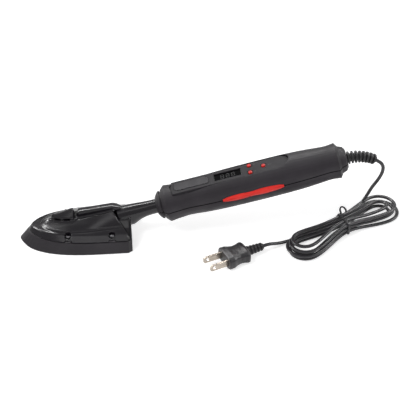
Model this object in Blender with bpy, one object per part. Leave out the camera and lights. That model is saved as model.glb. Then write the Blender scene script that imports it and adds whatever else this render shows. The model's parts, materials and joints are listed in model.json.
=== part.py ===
"""A covering-film sealing iron: a boat-shaped heated shoe, a straight neck and a round handle with a
digital temperature display, its mains lead tied in a hank, and a two-blade plug.

Metres, +Z up. The sole lies flat at z = 0, the nose points to -X and the lead leaves to +X.
"""

import math

import bmesh
import bpy
from mathutils import Matrix, Vector

# Common values
GAP = 0.0003  # clearance left between neighbouring pieces
OVERRUN = 0.002  # how far a cutter runs past the faces that it opens
TURN_STEPS = 40  # facets round the handle
SMALL_STEPS = 20  # facets round small turned pieces
SCREW_STEPS = 12
SHARP_ANGLE_DEG = 35  # edges that turn by more stay sharp
CURVE_STEPS = 16  # samples between two points of a smooth run

# Sole and shoe cover
SOLE_LENGTH = 0.0990
SOLE_HALF_WIDTH = 0.0296
SOLE_HEIGHT = 0.0115
SOLE_FLOOR = 0.0045
SOLE_WALL = 0.0036
SOLE_EDGE = 0.0006
NOSE_RAKE = 0.0078  # how far the nose leans back over the height of the sole wall
SIDE_DRAFT = 0.0018
TOE_SPRING = 0.0020  # how far the nose of the sole's face lifts off the table
TOE_SHARE = 0.10
OUTLINE_POWER = 4.0
OUTLINE_ROOT = 0.65
OUTLINE_POINTS = 20
CORNER_SHARE = 0.965
CORNER_CUT = 0.0026
RISE_SHARE = 0.45  # share of the length over which the cover rises from its nose
COVER_WALL = 0.0018
COVER_EDGE_X = 0.0109  # the thin lower edge line
COVER_EDGE_HEIGHT = 0.0045
COVER_EDGE_HALF_WIDTH = 0.0223
COVER_EDGE_WIDTH = 0.0011
COVER_CREASE_X = 0.0192  # the shoulder, rounded over its own width
COVER_CREASE_HEIGHT = 0.0056
COVER_CREASE_RISE = 0.0025
COVER_CREASE_HALF_WIDTH = 0.0229
COVER_CREASE_WIDTH = 0.0015
COVER_CREASE_TAPER_SHARE = 0.30
COVER_TOP_X = 0.0255  # the lip beside the flute
COVER_TOP_HEIGHT = 0.0090
COVER_TOP_RISE = 0.0100
COVER_TOP_HALF_WIDTH = 0.0070
COVER_TOP_ROUND = 0.0007
COVER_NOSE_WALL_SHARE = 1.6
REAR_CUT_SETBACK = 0.0155  # how far before the sole's rear the cover's rear edge ends at its top
REAR_CUT_RISE = 0.0180

# Prow, vents and spine on top of the cover
PROW_FRONT_X = 0.0290
PROW_REAR_X = 0.0485
PROW_HALF_WIDTH = 0.0072
PROW_FRONT_EDGE_Z = 0.0238
PROW_EDGE_Z = 0.0256
PROW_TOP_Z = 0.0318
PROW_ROOT = 0.0030
PROW_WIDTH_SHARES = ((0.0, 0.22), (0.25, 0.58), (0.55, 0.84), (1.0, 1.0))  # along, width
PROW_RIDGE_SHARE = 0.25  # share of the ridge's height at its front end
VENT_FRONT_X = 0.0315
VENT_LENGTH = 0.0060
VENT_HEIGHT = 0.0017
VENT_BRIDGE = 0.0022
VENT_LIP = 0.0008
SPINE_FRONT_X = 0.0520
SPINE_REAR_SETBACK = 0.0150
SPINE_END_SETBACK = 0.0080
SPINE_HALF_WIDTH = 0.0036
SPINE_TOP_FRONT_Z = 0.0292
SPINE_TOP_REAR_Z = 0.0330
SPINE_END_Z = 0.0305
SPINE_ROOT_Z = 0.0225
SPINE_ROUND = 0.0014
SPINE_POINTS = 7
FLUTE_RADIUS = 0.0029
FLUTE_Y = 0.0068
FLUTE_FRONT_Z = 0.0266
FLUTE_REAR_Z = 0.0346

# Screws in the sides of the cover
SCREW_FRONT_X = 0.0430
SCREW_REAR_SETBACK = 0.0175  # from the sole's rear
SCREW_INSET = 0.0056  # from the foot of the cover's wall
SCREW_HEAD_RADIUS = 0.0019
SCREW_HEAD_HEIGHT = 0.0012
SCREW_SHANK_RADIUS = 0.0010
SCREW_LENGTH = 0.0062
SCREW_SLOT_WIDTH = 0.0006
SCREW_SLOT_DEPTH = 0.0005
SCREW_CROWN_SHARE = 0.85
SCREW_SIDE_SHARE = 0.70
POCKET_RADIUS = 0.0030
POCKET_FLOOR_RISE = 0.0021  # floor over the sole's rim
POCKET_WALL = 0.0014
TAB_HALF_LENGTH = 0.0026
TAB_HEIGHT = 0.0010
TAB_RECESS = 0.0004
TAB_THICKNESS = 0.0011
LUG_RADIUS = 0.0026

# Heater, clamp plate and sensor on the sole
HEATER_HALF_WIDTH = 0.0155
HEATER_THICKNESS = 0.0028
HEATER_FRONT_X = 0.0200
HEATER_REAR_SETBACK = 0.0190  # from the sole's rear
CLAMP_MARGIN = 0.0050
CLAMP_HALF_WIDTH = 0.0110
CLAMP_THICKNESS = 0.0016
CLAMP_SCREW_RADIUS = 0.0016
CLAMP_SCREW_HEAD_RADIUS = 0.0028
CLAMP_SCREW_HEAD_HEIGHT = 0.0018
CLAMP_SCREW_INSET = 0.0080
CLAMP_SCREW_DEPTH = 0.0022
SENSOR_RADIUS = 0.0016
SENSOR_LENGTH = 0.0090

# Handle line, neck and rear bracket
HANDLE_TILT_DEG = 13.35
HANDLE_LINE_SETBACK = 0.0010  # how far behind the sole the handle's line starts
HANDLE_LINE_X = SOLE_LENGTH + HANDLE_LINE_SETBACK
HANDLE_LINE_Z = 0.0231
NECK_RADIUS = 0.0048
NECK_WALL = 0.0009
NECK_FRONT = -0.0112
NECK_REAR = 0.0640
BRACKET_PLATE_SETBACK = 0.0016
BRACKET_PLATE_THICKNESS = 0.0016
BRACKET_FOOT_HALF_WIDTH = 0.0262
BRACKET_CREASE_HALF_WIDTH = 0.0160
BRACKET_CREASE_HEIGHT = 0.0068
BRACKET_TOP_HALF_WIDTH = 0.0090
BRACKET_TOP_HEIGHT = 0.0114
BRACKET_BODY_SETBACK = 0.0105  # how far before the sole's rear the body under the cover's edge starts
BRACKET_BODY_INSET = 0.0037
HORN_TAIL_RADIUS = 0.0065  # where the neck enters the handle
HORN_REAR = 0.0360
HORN_FRONT = -0.0120
HORN_STATIONS = (
    (0.0, 0.0082, 0.0024),
    (0.0105, 0.0078, 0.0046),
    (0.0134, 0.0076, 0.0040),
    (0.0164, 0.0074, 0.0025),
    (0.0198, 0.0071, 0.0012),
    (0.0240, 0.0068, 0.0004),
    (0.0300, 0.0065, 0.0),
)  # from its front: place, radius, and how much deeper it hangs

# Handle shells, along the handle line
NOSE_FACE = 0.0233
NOSE_RADIUS = 0.0078
NOSE_BULGE = 0.0006
RING_1_AT = 0.0270
RING_1_RADIUS = 0.0125
RING_1_END = 0.0280
GROOVE_RADIUS = 0.0115
GROOVE_SIDE = 0.0002
GROOVE_END = 0.0291
CONE_RADIUS = 0.0130
RIM_AT = 0.0326
RIM_RADIUS = 0.01635
RIM_LAND = 0.0014
RIM_EASE = 0.0002
WAIST_AT = 0.0500
WAIST_RADIUS = 0.01490
BELLY_AT = 0.0640
BELLY_RADIUS = 0.01600
SWELL_AT = 0.0780
SWELL_RADIUS = 0.01675
GRIP_START = 0.1000
GRIP_END = 0.1390
GRIP_RADIUS = 0.01720
TAPER_AT = 0.1584
TAPER_RADIUS = 0.01655
TAIL_AT = 0.1735
TAIL_RADIUS = 0.01540
REAR_WAIST_AT = 0.1800
REAR_WAIST_RADIUS = 0.01505
REAR_RIM_AT = 0.1878
REAR_RIM_RADIUS = 0.01590
CAP_AT = 0.1902
CAP_RADIUS = 0.01230
CAP_SHOULDER_AT = 0.1942
CAP_SHOULDER_RADIUS = 0.01070
CAP_END = 0.1962
CAP_END_RADIUS = 0.0076
CAP_ROUND = 0.0006
CAP_ROUND_RADIUS = 0.0012
SHELL_WALL = 0.0022
CAVITY_FRONT = 0.0370
CAVITY_REAR = 0.1860
PARTING_GAP = 0.0003
BOSS_RADIUS = 0.0037
BOSS_PLACES = (0.1515, 0.1720)
HANDLE_SCREW_RADIUS = 0.0014
HANDLE_SCREW_HEAD_RADIUS = 0.0024
HANDLE_SCREW_HEAD_HEIGHT = 0.0018
HANDLE_SCREW_HEAD_LEVEL = 0.0075  # how far under the parting line a head sits
HANDLE_SCREW_LENGTH = 0.0130

# Control panel on the handle
PANEL_FRONT = 0.0385
PANEL_REAR = 0.1466
PANEL_HALF_WIDTH = 0.0090
PANEL_SEAT_Z = 0.0122
PANEL_THICKNESS = 0.0017
PANEL_LEDGE = 0.0014
PANEL_FRONT_SLANT = 0.0020
PANEL_ROUND_POINTS = 9
PANEL_CHAMFER = 0.0004
DISPLAY_FRONT = 0.0790
DISPLAY_REAR = 0.1032
DISPLAY_HALF_WIDTH = 0.0050
LENS_THICKNESS = 0.0008
LCD_MARGIN = 0.0012
BADGE_FRONT = 0.0425
BADGE_REAR = 0.0735
BADGE_HALF_WIDTH = 0.0052
BADGE_SLANT = 0.0030
BADGE_PROUD = 0.0004
BADGE_SINK = 0.0005

# Push buttons: a pair beside each other and one behind them
BUTTON_PAIR_AT = 0.1112
BUTTON_PAIR_HALF_SPACING = 0.0052
BUTTON_REAR_AT = 0.1236
BUTTON_RADIUS = 0.0018
BUTTON_PROUD = 0.0011
BUTTON_DOME = ((1.0, 0.0006), (0.82, 0.0002), (0.45, 0.0))  # radius share, drop
BUTTON_FLANGE_RADIUS = 0.0026
BUTTON_FLANGE_HEIGHT = 0.0006
BUTTON_TRAVEL = 0.0005
BUTTON_RING_RADIUS = 0.0030
BUTTON_RING_DEPTH = 0.0004

# Circuit board and switches under the panel
BOARD_FRONT = 0.0740
BOARD_REAR = 0.1360
BOARD_HALF_WIDTH = 0.0085
BOARD_THICKNESS = 0.0014
BOARD_TOP_Z = 0.0070
SWITCH_HALF_SIZE = 0.0020
SWITCH_HEIGHT = 0.0014

# Soft side inlays on the parting line
INLAY_FRONT = 0.0822
INLAY_REAR = 0.1370
INLAY_LOBE_HALF_WIDTH = 0.0034
INLAY_WAIST_HALF_WIDTH = 0.0024
INLAY_TIP_HALF_WIDTH = 0.0011
INLAY_DEPTH = 0.0012
INLAY_PROUD = 0.0006
INLAY_POINTS = 14
INLAY_ROUND_POWER = 0.5
INLAY_WAIST_SHARE = 0.46
INLAY_WAIST_LENGTH_SHARE = 0.14
INLAY_CROWN_SHARE = 0.45

# Strain relief at the rear of the handle
RELIEF_RIBS = 8
RELIEF_LENGTH = 0.0262
RELIEF_ROOT_RADIUS = 0.0058
RELIEF_TIP_RADIUS = 0.0047
RELIEF_CORE_SHARE = 0.66
RELIEF_BEND_DEG = 42.0
RELIEF_BORE_RADIUS = 0.0022
RELIEF_FLANGE_RADIUS = 0.0068
RELIEF_FLANGE_THICKNESS = 0.0016
RELIEF_STEM_RADIUS = 0.0040
RELIEF_STEM_LENGTH = 0.0050
RELIEF_STEPS = 18
RELIEF_RIB_SHARES = (0.02, 0.18, 0.58, 0.74)
RELIEF_BORE_SHARES = (1.0, 0.75, 0.5, 0.25, 0.0)

# Mains lead
CORD_RADIUS = 0.0016
CORD_DIAMETER = 2 * CORD_RADIUS
CORD_SPACING = 1.5 * CORD_DIAMETER
CORD_LIFT = 0.0002  # clearance under what lies on the table
LEAD_ROUTE = (
    (0.3232, 0.0000, 0.0608),
    (0.3249, 0.0003, 0.0560),
    (0.3243, 0.0010, 0.0500),
    (0.3222, 0.0024, 0.0430),
    (0.3194, 0.0050, 0.0355),
    (0.3176, 0.0080, 0.0292),
    (0.3162, 0.0098, 0.0238),
    (0.3144, 0.0102, 0.0192),
    (0.3119, 0.0090, 0.0158),
    (0.3089, 0.0070, 0.0142),
)
TAIL_ROUTE = (
    (0.2420, -0.0262, 0.0018),
    (0.2290, -0.0320, 0.0032),
)

# Hank, in its own frame: the along axis runs towards its far end
HANK_CENTRE = (0.2882, -0.0175)
HANK_TURN_DEG = 32.3
HANK_END_AT = 0.0460  # how far along each end's round centre lies
HANK_NEAR_RADIUS = 0.0096
HANK_FAR_RADIUS = 0.0120
HANK_WAIST = 0.0019  # how far the innermost runs stay from the middle line at the waist
HANK_STEP = 0.0042
HANK_LAYER_STEP = 0.0038
HANK_LOOP_POINTS = 24
HANK_TURNS = (0.32, 0.875, 2.375, 3.875, 5.44)  # where it starts, turns back three times and ends
HANK_WIDENING = 0.10  # share of a turn on each side of a climb
HANK_WAIST_LIFT = 0.0027
HANK_LIFT_LENGTH = 0.0200

# Wire tie round the hank's waist, its free end curled into a ring
TIE_RADIUS = 0.0006
TIE_HALF_WIDTH = 0.0119
TIE_HALF_HEIGHT = 0.0094
TIE_SQUARENESS = 0.42
TIE_DRIFT = 0.0032
TIE_CURL_RADIUS = 0.0030
TIE_START_DEG = 60  # where round the hank the tie's loop starts
TIE_CURL_TURN = 1.7  # half turns of its curled end
TIE_LOOP_POINTS = 32
TIE_CURL_POINTS = 16
TIE_CLEARANCE = 0.0002

# Plug, in its own frame: the front face at zero and the cord end at +X
PLUG_FRONT = (0.1772, -0.0538)
PLUG_TURN_DEG = 22.4
PLUG_HALF_HEIGHT = 0.0065
PLUG_AXIS_Z = PLUG_HALF_HEIGHT + CORD_LIFT
PLUG_HALF_WIDTH = 0.0118
PLUG_STATIONS = (
    (0.0, 0.94, 0.92),
    (0.0008, 1.0, 1.0),
    (0.0050, 0.98, 1.0),
    (0.0085, 0.86, 0.90),
    (0.0120, 0.80, 0.84),
    (0.0160, 0.84, 0.88),
    (0.0190, 0.92, 0.96),
    (0.0205, 0.90, 0.94),
    (0.0215, 0.78, 0.82),
)  # place, width share, height share
PLUG_POINTS = 24
PLUG_SQUARENESS = 0.55
PLUG_RELIEF_START = 0.0222
PLUG_RELIEF_LENGTH = 0.0163
PLUG_RELIEF_ROOT_RADIUS = 0.0046
PLUG_RELIEF_TIP_RADIUS = 0.0036
PLUG_RELIEF_RIBS = 5
PLUG_RELIEF_CORE_SHARE = 0.72
BLADE_SPACING = 0.0127
BLADE_WIDTH = 0.0063
BLADE_THICKNESS = 0.0015
BLADE_LENGTH = 0.0170
BLADE_SEAT = 0.0060
BLADE_CHAMFER = 0.0012
BLADE_HOLE_RADIUS = 0.0016
BLADE_HOLE_INSET = 0.0038

# Materials: colour, roughness, metallic
FINISHES = {
    "sole_coat": ((0.035, 0.033, 0.036), 0.45, 0.2),
    "gloss_black": ((0.016, 0.015, 0.018), 0.18, 0.0),
    "matte_charcoal": ((0.038, 0.035, 0.040), 0.60, 0.0),
    "panel_grey": ((0.062, 0.058, 0.066), 0.55, 0.0),
    "red_rubber": ((0.800, 0.045, 0.035), 0.45, 0.0),
    "rubber_black": ((0.014, 0.014, 0.015), 0.50, 0.0),
    "steel": ((0.480, 0.470, 0.460), 0.30, 1.0),
    "nickel": ((0.520, 0.460, 0.400), 0.28, 1.0),
    "mica": ((0.450, 0.350, 0.220), 0.60, 0.0),
    "board_green": ((0.020, 0.120, 0.050), 0.50, 0.0),
    "display_dark": ((0.008, 0.008, 0.010), 0.10, 0.0),
}

TILT = math.radians(HANDLE_TILT_DEG)


def clear_scene():
    for item in list(bpy.data.objects):
        bpy.data.objects.remove(item, do_unlink=True)


def finish_named(name):
    material = bpy.data.materials.new(name)
    material.use_nodes = True
    colour, roughness, metallic = FINISHES[name]
    shader = material.node_tree.nodes["Principled BSDF"]
    shader.inputs["Base Color"].default_value = (*colour, 1.0)
    shader.inputs["Roughness"].default_value = roughness
    shader.inputs["Metallic"].default_value = metallic
    return material


def add_object(name, mesh_points, mesh_faces, finish, parent=None):
    """A mesh object of given points and faces, its faces turned outwards."""
    mesh = bpy.data.meshes.new(name)
    mesh.from_pydata([tuple(p) for p in mesh_points], [], mesh_faces)
    build = bmesh.new()
    build.from_mesh(mesh)
    bmesh.ops.recalc_face_normals(build, faces=build.faces)
    build.to_mesh(mesh)
    build.free()
    mesh.shade_smooth()
    mesh.set_sharp_from_angle(angle=math.radians(SHARP_ANGLE_DEG))
    item = bpy.data.objects.new(name, mesh)
    bpy.context.scene.collection.objects.link(item)
    if finish:
        mesh.materials.append(finish_named(finish))
    item.parent = parent
    return item


def loft(rings, first_cap=True, last_cap=True):
    """Points and faces of closed rings of equal count joined in order."""
    count = len(rings[0])
    points = [p for ring in rings for p in ring]
    faces = []
    for k in range(len(rings) - 1):
        for i in range(count):
            j = (i + 1) % count
            faces.append((k * count + i, k * count + j, (k + 1) * count + j, (k + 1) * count + i))
    if first_cap:
        faces.append(tuple(range(count))[::-1])
    if last_cap:
        faces.append(tuple((len(rings) - 1) * count + i for i in range(count)))
    return points, faces


def turned(profile, steps):
    """Points and faces of a closed (place, radius) outline turned about the X axis."""
    points, faces = [], []
    count = len(profile)
    for s in range(steps):
        angle = 2 * math.pi * s / steps
        for place, radius in profile:
            points.append((place, radius * math.cos(angle), radius * math.sin(angle)))
    for s in range(steps):
        t = (s + 1) % steps
        for i in range(count):
            j = (i + 1) % count
            if profile[i][1] or profile[j][1]:
                faces.append((s * count + i, s * count + j, t * count + j, t * count + i))
    return points, faces


def weld(item):
    """Joins points that coincide, as on the axis of a turned solid."""
    build = bmesh.new()
    build.from_mesh(item.data)
    bmesh.ops.remove_doubles(build, verts=build.verts, dist=1e-7)
    bmesh.ops.dissolve_degenerate(build, edges=build.edges, dist=1e-7)
    bmesh.ops.recalc_face_normals(build, faces=build.faces)
    build.to_mesh(item.data)
    build.free()


def turned_object(name, profile, steps, finish, parent=None):
    points, faces = turned(profile, steps)
    item = add_object(name, points, faces, finish, parent)
    weld(item)
    return item


def rod(name, start, end, radius, steps, finish=None, parent=None):
    """A solid cylinder from one point to another."""
    start, end = Vector(start), Vector(end)
    axis = (end - start).normalized()
    side = axis.orthogonal().normalized()
    other = axis.cross(side)
    rings = []
    for centre in (start, end):
        ring = []
        for i in range(steps):
            angle = 2 * math.pi * i / steps
            ring.append(centre + radius * (math.cos(angle) * side + math.sin(angle) * other))
        rings.append(ring)
    points, faces = loft(rings)
    return add_object(name, points, faces, finish, parent)


def block(name, low, high, finish=None, parent=None):
    """A box between two corners."""
    (x0, y0, z0), (x1, y1, z1) = low, high
    bottom = [(x0, y0, z0), (x1, y0, z0), (x1, y1, z0), (x0, y1, z0)]
    top = [(x, y, z1) for x, y, z in bottom]
    points, faces = loft([bottom, top])
    return add_object(name, points, faces, finish, parent)


def prism(name, outline, z0, z1, finish=None, parent=None):
    """An (x, y) outline raised from z0 to z1."""
    points, faces = loft([[(x, y, z0) for x, y in outline], [(x, y, z1) for x, y in outline]])
    return add_object(name, points, faces, finish, parent)


def apply_modifiers(item):
    depsgraph = bpy.context.evaluated_depsgraph_get()
    depsgraph.update()
    mesh = bpy.data.meshes.new_from_object(item.evaluated_get(depsgraph), depsgraph=depsgraph)
    mesh.name = item.name
    item.modifiers.clear()
    item.data = mesh


def flatten(item):
    """Splits a mesh's faces into triangles, so that every face of a Boolean's result is flat."""
    build = bmesh.new()
    build.from_mesh(item.data)
    bmesh.ops.triangulate(build, faces=build.faces)
    build.to_mesh(item.data)
    build.free()


def combine(item, other, operation):
    """One Boolean with a helper object, which is then removed."""
    flatten(item)
    flatten(other)
    modifier = item.modifiers.new(operation.lower(), "BOOLEAN")
    modifier.operation = operation
    modifier.solver = "EXACT"
    modifier.object = other
    apply_modifiers(item)
    bpy.data.objects.remove(other, do_unlink=True)
    item.data.shade_smooth()
    item.data.set_sharp_from_angle(angle=math.radians(SHARP_ANGLE_DEG))


def cut(item, *cutters):
    for cutter in cutters:
        combine(item, cutter, "DIFFERENCE")


def fuse(item, *others):
    for other in others:
        combine(item, other, "UNION")


def outline_share(t):
    """Half width of the shoe's plan outline, as a share, at share t of its length."""
    return (1 - (1 - t) ** OUTLINE_POWER) ** OUTLINE_ROOT


def boat_ring(front, rear, half_width, z_front, z_rear, rise=RISE_SHARE, taper=0.0):
    """A closed ring with a rounded nose, its height easing from the nose over its rise share."""
    side = []
    shares = [(i / OUTLINE_POINTS) ** 2 for i in range(1, OUTLINE_POINTS)]
    for t in (*shares, CORNER_SHARE, 1.0):
        x = front + (rear - front) * t
        y = half_width * outline_share(t) * (1 - taper * t)
        if t > CORNER_SHARE:
            y -= CORNER_CUT * (t - CORNER_SHARE) / (1 - CORNER_SHARE)
        ease = min(1.0, t / rise)
        z = z_front + (z_rear - z_front) * ease * ease * (3 - 2 * ease)
        side.append((x, y, z))
    nose = [(front, 0.0, z_front)]
    return nose + side + [(x, -y, z) for x, y, z in reversed(side)]


def wall_front(z):
    return NOSE_RAKE * z / SOLE_HEIGHT


def wall_half_width(z):
    return SOLE_HALF_WIDTH - SIDE_DRAFT * z / SOLE_HEIGHT


def make_sole_plate():
    rear = SOLE_LENGTH
    toe = TOE_SPRING
    bottom = boat_ring(SOLE_EDGE, rear - SOLE_EDGE, SOLE_HALF_WIDTH - SOLE_EDGE, toe, 0, TOE_SHARE)
    edge = boat_ring(wall_front(SOLE_EDGE), rear, SOLE_HALF_WIDTH, toe + SOLE_EDGE, SOLE_EDGE, TOE_SHARE)
    top = boat_ring(wall_front(SOLE_HEIGHT), rear, wall_half_width(SOLE_HEIGHT), SOLE_HEIGHT, SOLE_HEIGHT)
    points, faces = loft([bottom, edge, top])
    sole = add_object("sole_plate", points, faces, "sole_coat")
    low, high = SOLE_FLOOR, SOLE_HEIGHT + OVERRUN
    inner_front = wall_front(SOLE_HEIGHT) + 2 * SOLE_WALL
    inner_width = wall_half_width(SOLE_HEIGHT) - SOLE_WALL
    pocket = [boat_ring(inner_front, rear - SOLE_WALL, inner_width, z, z) for z in (low, high)]
    points, faces = loft(pocket)
    cut(sole, add_object("pocket_cutter", points, faces, None))
    lug_top = pocket_floor() - POCKET_WALL - GAP
    for x in screw_places():
        for sign in (1, -1):
            y = sign * screw_across(x)
            lug = rod("lug", (x, y, SOLE_FLOOR - SOLE_EDGE), (x, y, lug_top), LUG_RADIUS, SCREW_STEPS)
            fuse(sole, lug, tab_solid(x, sign, 0))
            low = pocket_floor() - SCREW_LENGTH
            high = lug_top + OVERRUN
            cut(sole, rod("lug_hole", (x, y, low), (x, y, high), SCREW_SHANK_RADIUS + GAP, SCREW_STEPS))
    for x in clamp_screw_places():
        hole_start = (x, 0, SOLE_FLOOR + OVERRUN)
        hole_end = (x, 0, SOLE_FLOOR - CLAMP_SCREW_DEPTH - GAP)
        cut(sole, rod("clamp_hole", hole_start, hole_end, CLAMP_SCREW_RADIUS + GAP, SCREW_STEPS))
    return sole


def cover_half_width_at(x, z):
    """Half width of the cover's wall at a place along the shoe."""
    front = wall_front(z)
    t = (x - front) / (SOLE_LENGTH - front)
    return wall_half_width(z) * outline_share(t)


def tab_solid(x, sign, clearance):
    """A tab on the sole's rim under a screw, or with a clearance its notch in the cover's foot."""
    outer = cover_half_width_at(x, SOLE_HEIGHT) - TAB_RECESS
    inner = outer - TAB_THICKNESS - clearance
    if clearance:
        outer += OVERRUN
        inner -= OVERRUN
    ys = sorted((sign * inner, sign * outer))
    half = TAB_HALF_LENGTH + clearance
    low = (x - half, ys[0], SOLE_HEIGHT - TAB_HEIGHT)
    return block("tab", low, (x + half, ys[1], SOLE_HEIGHT + TAB_HEIGHT + clearance))


def screw_places():
    return (SCREW_FRONT_X, SOLE_LENGTH - SCREW_REAR_SETBACK)


def screw_across(x):
    """How far from the middle a cover screw stands."""
    return cover_half_width_at(x, SOLE_HEIGHT) - SCREW_INSET


def pocket_floor():
    return SOLE_HEIGHT + POCKET_FLOOR_RISE


def cover_rings(inset):
    """The cover's rings from its foot to its top; the inset gives its inner face."""
    rear = SOLE_LENGTH - inset
    foot_z = SOLE_HEIGHT + GAP
    edge_z = SOLE_HEIGHT + COVER_EDGE_HEIGHT
    crease_z = SOLE_HEIGHT + COVER_CREASE_HEIGHT
    top_z = SOLE_HEIGHT + COVER_TOP_HEIGHT
    wall = wall_half_width(SOLE_HEIGHT)
    edge, crease, top = COVER_EDGE_HALF_WIDTH, COVER_CREASE_HALF_WIDTH, COVER_TOP_HALF_WIDTH
    taper = COVER_CREASE_TAPER_SHARE
    rows = [
        (wall_front(foot_z), wall, foot_z, 0, 0),
        (COVER_EDGE_X, edge, edge_z, 0, 0),
        (COVER_EDGE_X + COVER_EDGE_WIDTH, edge - COVER_EDGE_WIDTH, edge_z + COVER_EDGE_WIDTH / 2, 0, 0),
        (COVER_CREASE_X, crease, crease_z, COVER_CREASE_RISE, taper),
        (
            COVER_CREASE_X + COVER_CREASE_WIDTH,
            crease - COVER_CREASE_WIDTH,
            crease_z + COVER_CREASE_WIDTH / 2,
            COVER_CREASE_RISE,
            taper,
        ),
        (COVER_TOP_X, top, top_z, COVER_TOP_RISE, 0),
        (COVER_TOP_X + COVER_TOP_ROUND, top - COVER_TOP_ROUND, top_z + COVER_TOP_ROUND, COVER_TOP_RISE, 0),
    ]
    rings = []
    for k, (front, half_width, z, rise, narrowing) in enumerate(rows):
        low = z - inset if k else z
        ring_front = front + COVER_NOSE_WALL_SHARE * inset
        rings.append(boat_ring(ring_front, rear, half_width - inset, low, low + rise, 1.0, narrowing))
    if inset:
        rings.insert(0, [(x, y, z - OVERRUN) for x, y, z in rings[0]])
    return rings


def spine_rear():
    return SOLE_LENGTH - SPINE_REAR_SETBACK


def spine_solid():
    """The rounded spine over the neck's end, rising towards the rear."""
    rings = []
    for x, top, half in (
        (SPINE_FRONT_X, SPINE_TOP_FRONT_Z - SPINE_ROUND, SPINE_HALF_WIDTH - SPINE_ROUND),
        (SPINE_FRONT_X + SPINE_ROUND, SPINE_TOP_FRONT_Z, SPINE_HALF_WIDTH),
        (spine_rear() - SPINE_ROUND, SPINE_TOP_REAR_Z, SPINE_HALF_WIDTH),
        (spine_rear() + SPINE_ROUND, SPINE_TOP_REAR_Z - SPINE_ROUND / 2, SPINE_HALF_WIDTH),
        (SOLE_LENGTH - SPINE_END_SETBACK, SPINE_END_Z, SPINE_HALF_WIDTH - SPINE_ROUND / 2),
    ):
        ring = [(x, -half, SPINE_ROOT_Z), (x, half, SPINE_ROOT_Z)]
        for i in range(SPINE_POINTS):
            angle = math.pi * i / (SPINE_POINTS - 1)
            ring.append((x, half * math.cos(angle), top - SPINE_ROUND + SPINE_ROUND * math.sin(angle)))
        rings.append(ring)
    points, faces = loft(rings)
    return add_object("spine", points, faces, None)


def prow_solid():
    """The wedge at the front of the crest, its ridge rising to the rear, with vents under its edges."""
    length = PROW_REAR_X - PROW_FRONT_X
    rings = []
    for share, width_share in PROW_WIDTH_SHARES:
        x = PROW_FRONT_X + length * share
        half = PROW_HALF_WIDTH * width_share
        edge = PROW_FRONT_EDGE_Z + (PROW_EDGE_Z - PROW_FRONT_EDGE_Z) * share
        ridge_share = PROW_RIDGE_SHARE + (1 - PROW_RIDGE_SHARE) * share
        top = edge + (PROW_TOP_Z - PROW_EDGE_Z) * ridge_share
        root = edge - PROW_ROOT * (1 + share)
        rings.append([(x, -half, root), (x, half, root), (x, half, edge), (x, 0, top), (x, -half, edge)])
    points, faces = loft(rings)
    prow = add_object("prow", points, faces, None)
    rise = (PROW_EDGE_Z - PROW_FRONT_EDGE_Z) / length
    reach = PROW_HALF_WIDTH + OVERRUN
    for x in (VENT_FRONT_X, VENT_FRONT_X + VENT_LENGTH + VENT_BRIDGE):
        foot = VENT_LIP + VENT_HEIGHT
        outline = []
        for px, drop in ((x, foot), (x + VENT_LENGTH, foot), (x + VENT_LENGTH, VENT_LIP), (x, VENT_LIP)):
            outline.append((px, PROW_FRONT_EDGE_Z + rise * (px - PROW_FRONT_X) - drop))
        points, faces = loft([[(px, y, pz) for px, pz in outline] for y in (-reach, reach)])
        cut(prow, add_object("vent", points, faces, None))
    return prow


def make_shoe_cover():
    points, faces = loft(cover_rings(0))
    cover = add_object("shoe_cover", points, faces, "gloss_black")
    cut(cover, rear_cutter())
    fuse(cover, prow_solid(), spine_solid())
    points, faces = loft(cover_rings(COVER_WALL))
    inside = add_object("inside", points, faces, None)
    floor = pocket_floor()
    for x in screw_places():
        for sign in (1, -1):
            y = sign * screw_across(x)
            radius = POCKET_RADIUS + POCKET_WALL
            low, high = (x, y, floor - POCKET_WALL), (x, y, SPINE_TOP_REAR_Z)
            cut(inside, rod("pocket_wall", low, high, radius, SMALL_STEPS))
    cut(cover, inside)
    for sign in (1, -1):
        start = (SPINE_FRONT_X, sign * FLUTE_Y, FLUTE_FRONT_Z)
        end = (SOLE_LENGTH + OVERRUN, sign * FLUTE_Y, FLUTE_REAR_Z)
        cut(cover, rod("flute", start, end, FLUTE_RADIUS, SMALL_STEPS))
    for x in screw_places():
        for sign in (1, -1):
            cut(cover, tab_solid(x, sign, GAP))
            y = sign * screw_across(x)
            top = (x, y, SPINE_TOP_REAR_Z)
            cut(cover, rod("pocket", (x, y, floor), top, POCKET_RADIUS, SMALL_STEPS))
            low = (x, y, floor - POCKET_WALL - OVERRUN)
            cut(cover, rod("screw_hole", low, top, SCREW_SHANK_RADIUS + GAP, SCREW_STEPS))
    line = handle_line_matrix()
    clearance = add_horn("horn_room", GAP)
    clearance.data.transform(line)
    cut(cover, clearance)
    return cover


def rear_cutter():
    """Takes off the cover's rear along the slanting edge seen beside the neck."""
    foot, top = SOLE_LENGTH - COVER_WALL - GAP, SOLE_LENGTH - REAR_CUT_SETBACK
    reach_z = SPINE_TOP_REAR_Z + OVERRUN
    rear = SOLE_LENGTH + OVERRUN
    outline = [
        (foot, SOLE_HEIGHT - OVERRUN),
        (foot, SOLE_HEIGHT + SIDE_DRAFT),
        (top, SOLE_HEIGHT + REAR_CUT_RISE),
        (top, reach_z + OVERRUN),
        (rear, reach_z + OVERRUN),
        (rear, SOLE_HEIGHT - OVERRUN),
    ]
    half = SOLE_HALF_WIDTH + OVERRUN
    points, faces = loft([[(x, -half, z) for x, z in outline], [(x, half, z) for x, z in outline]])
    return add_object("rear_cutter", points, faces, None)


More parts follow.
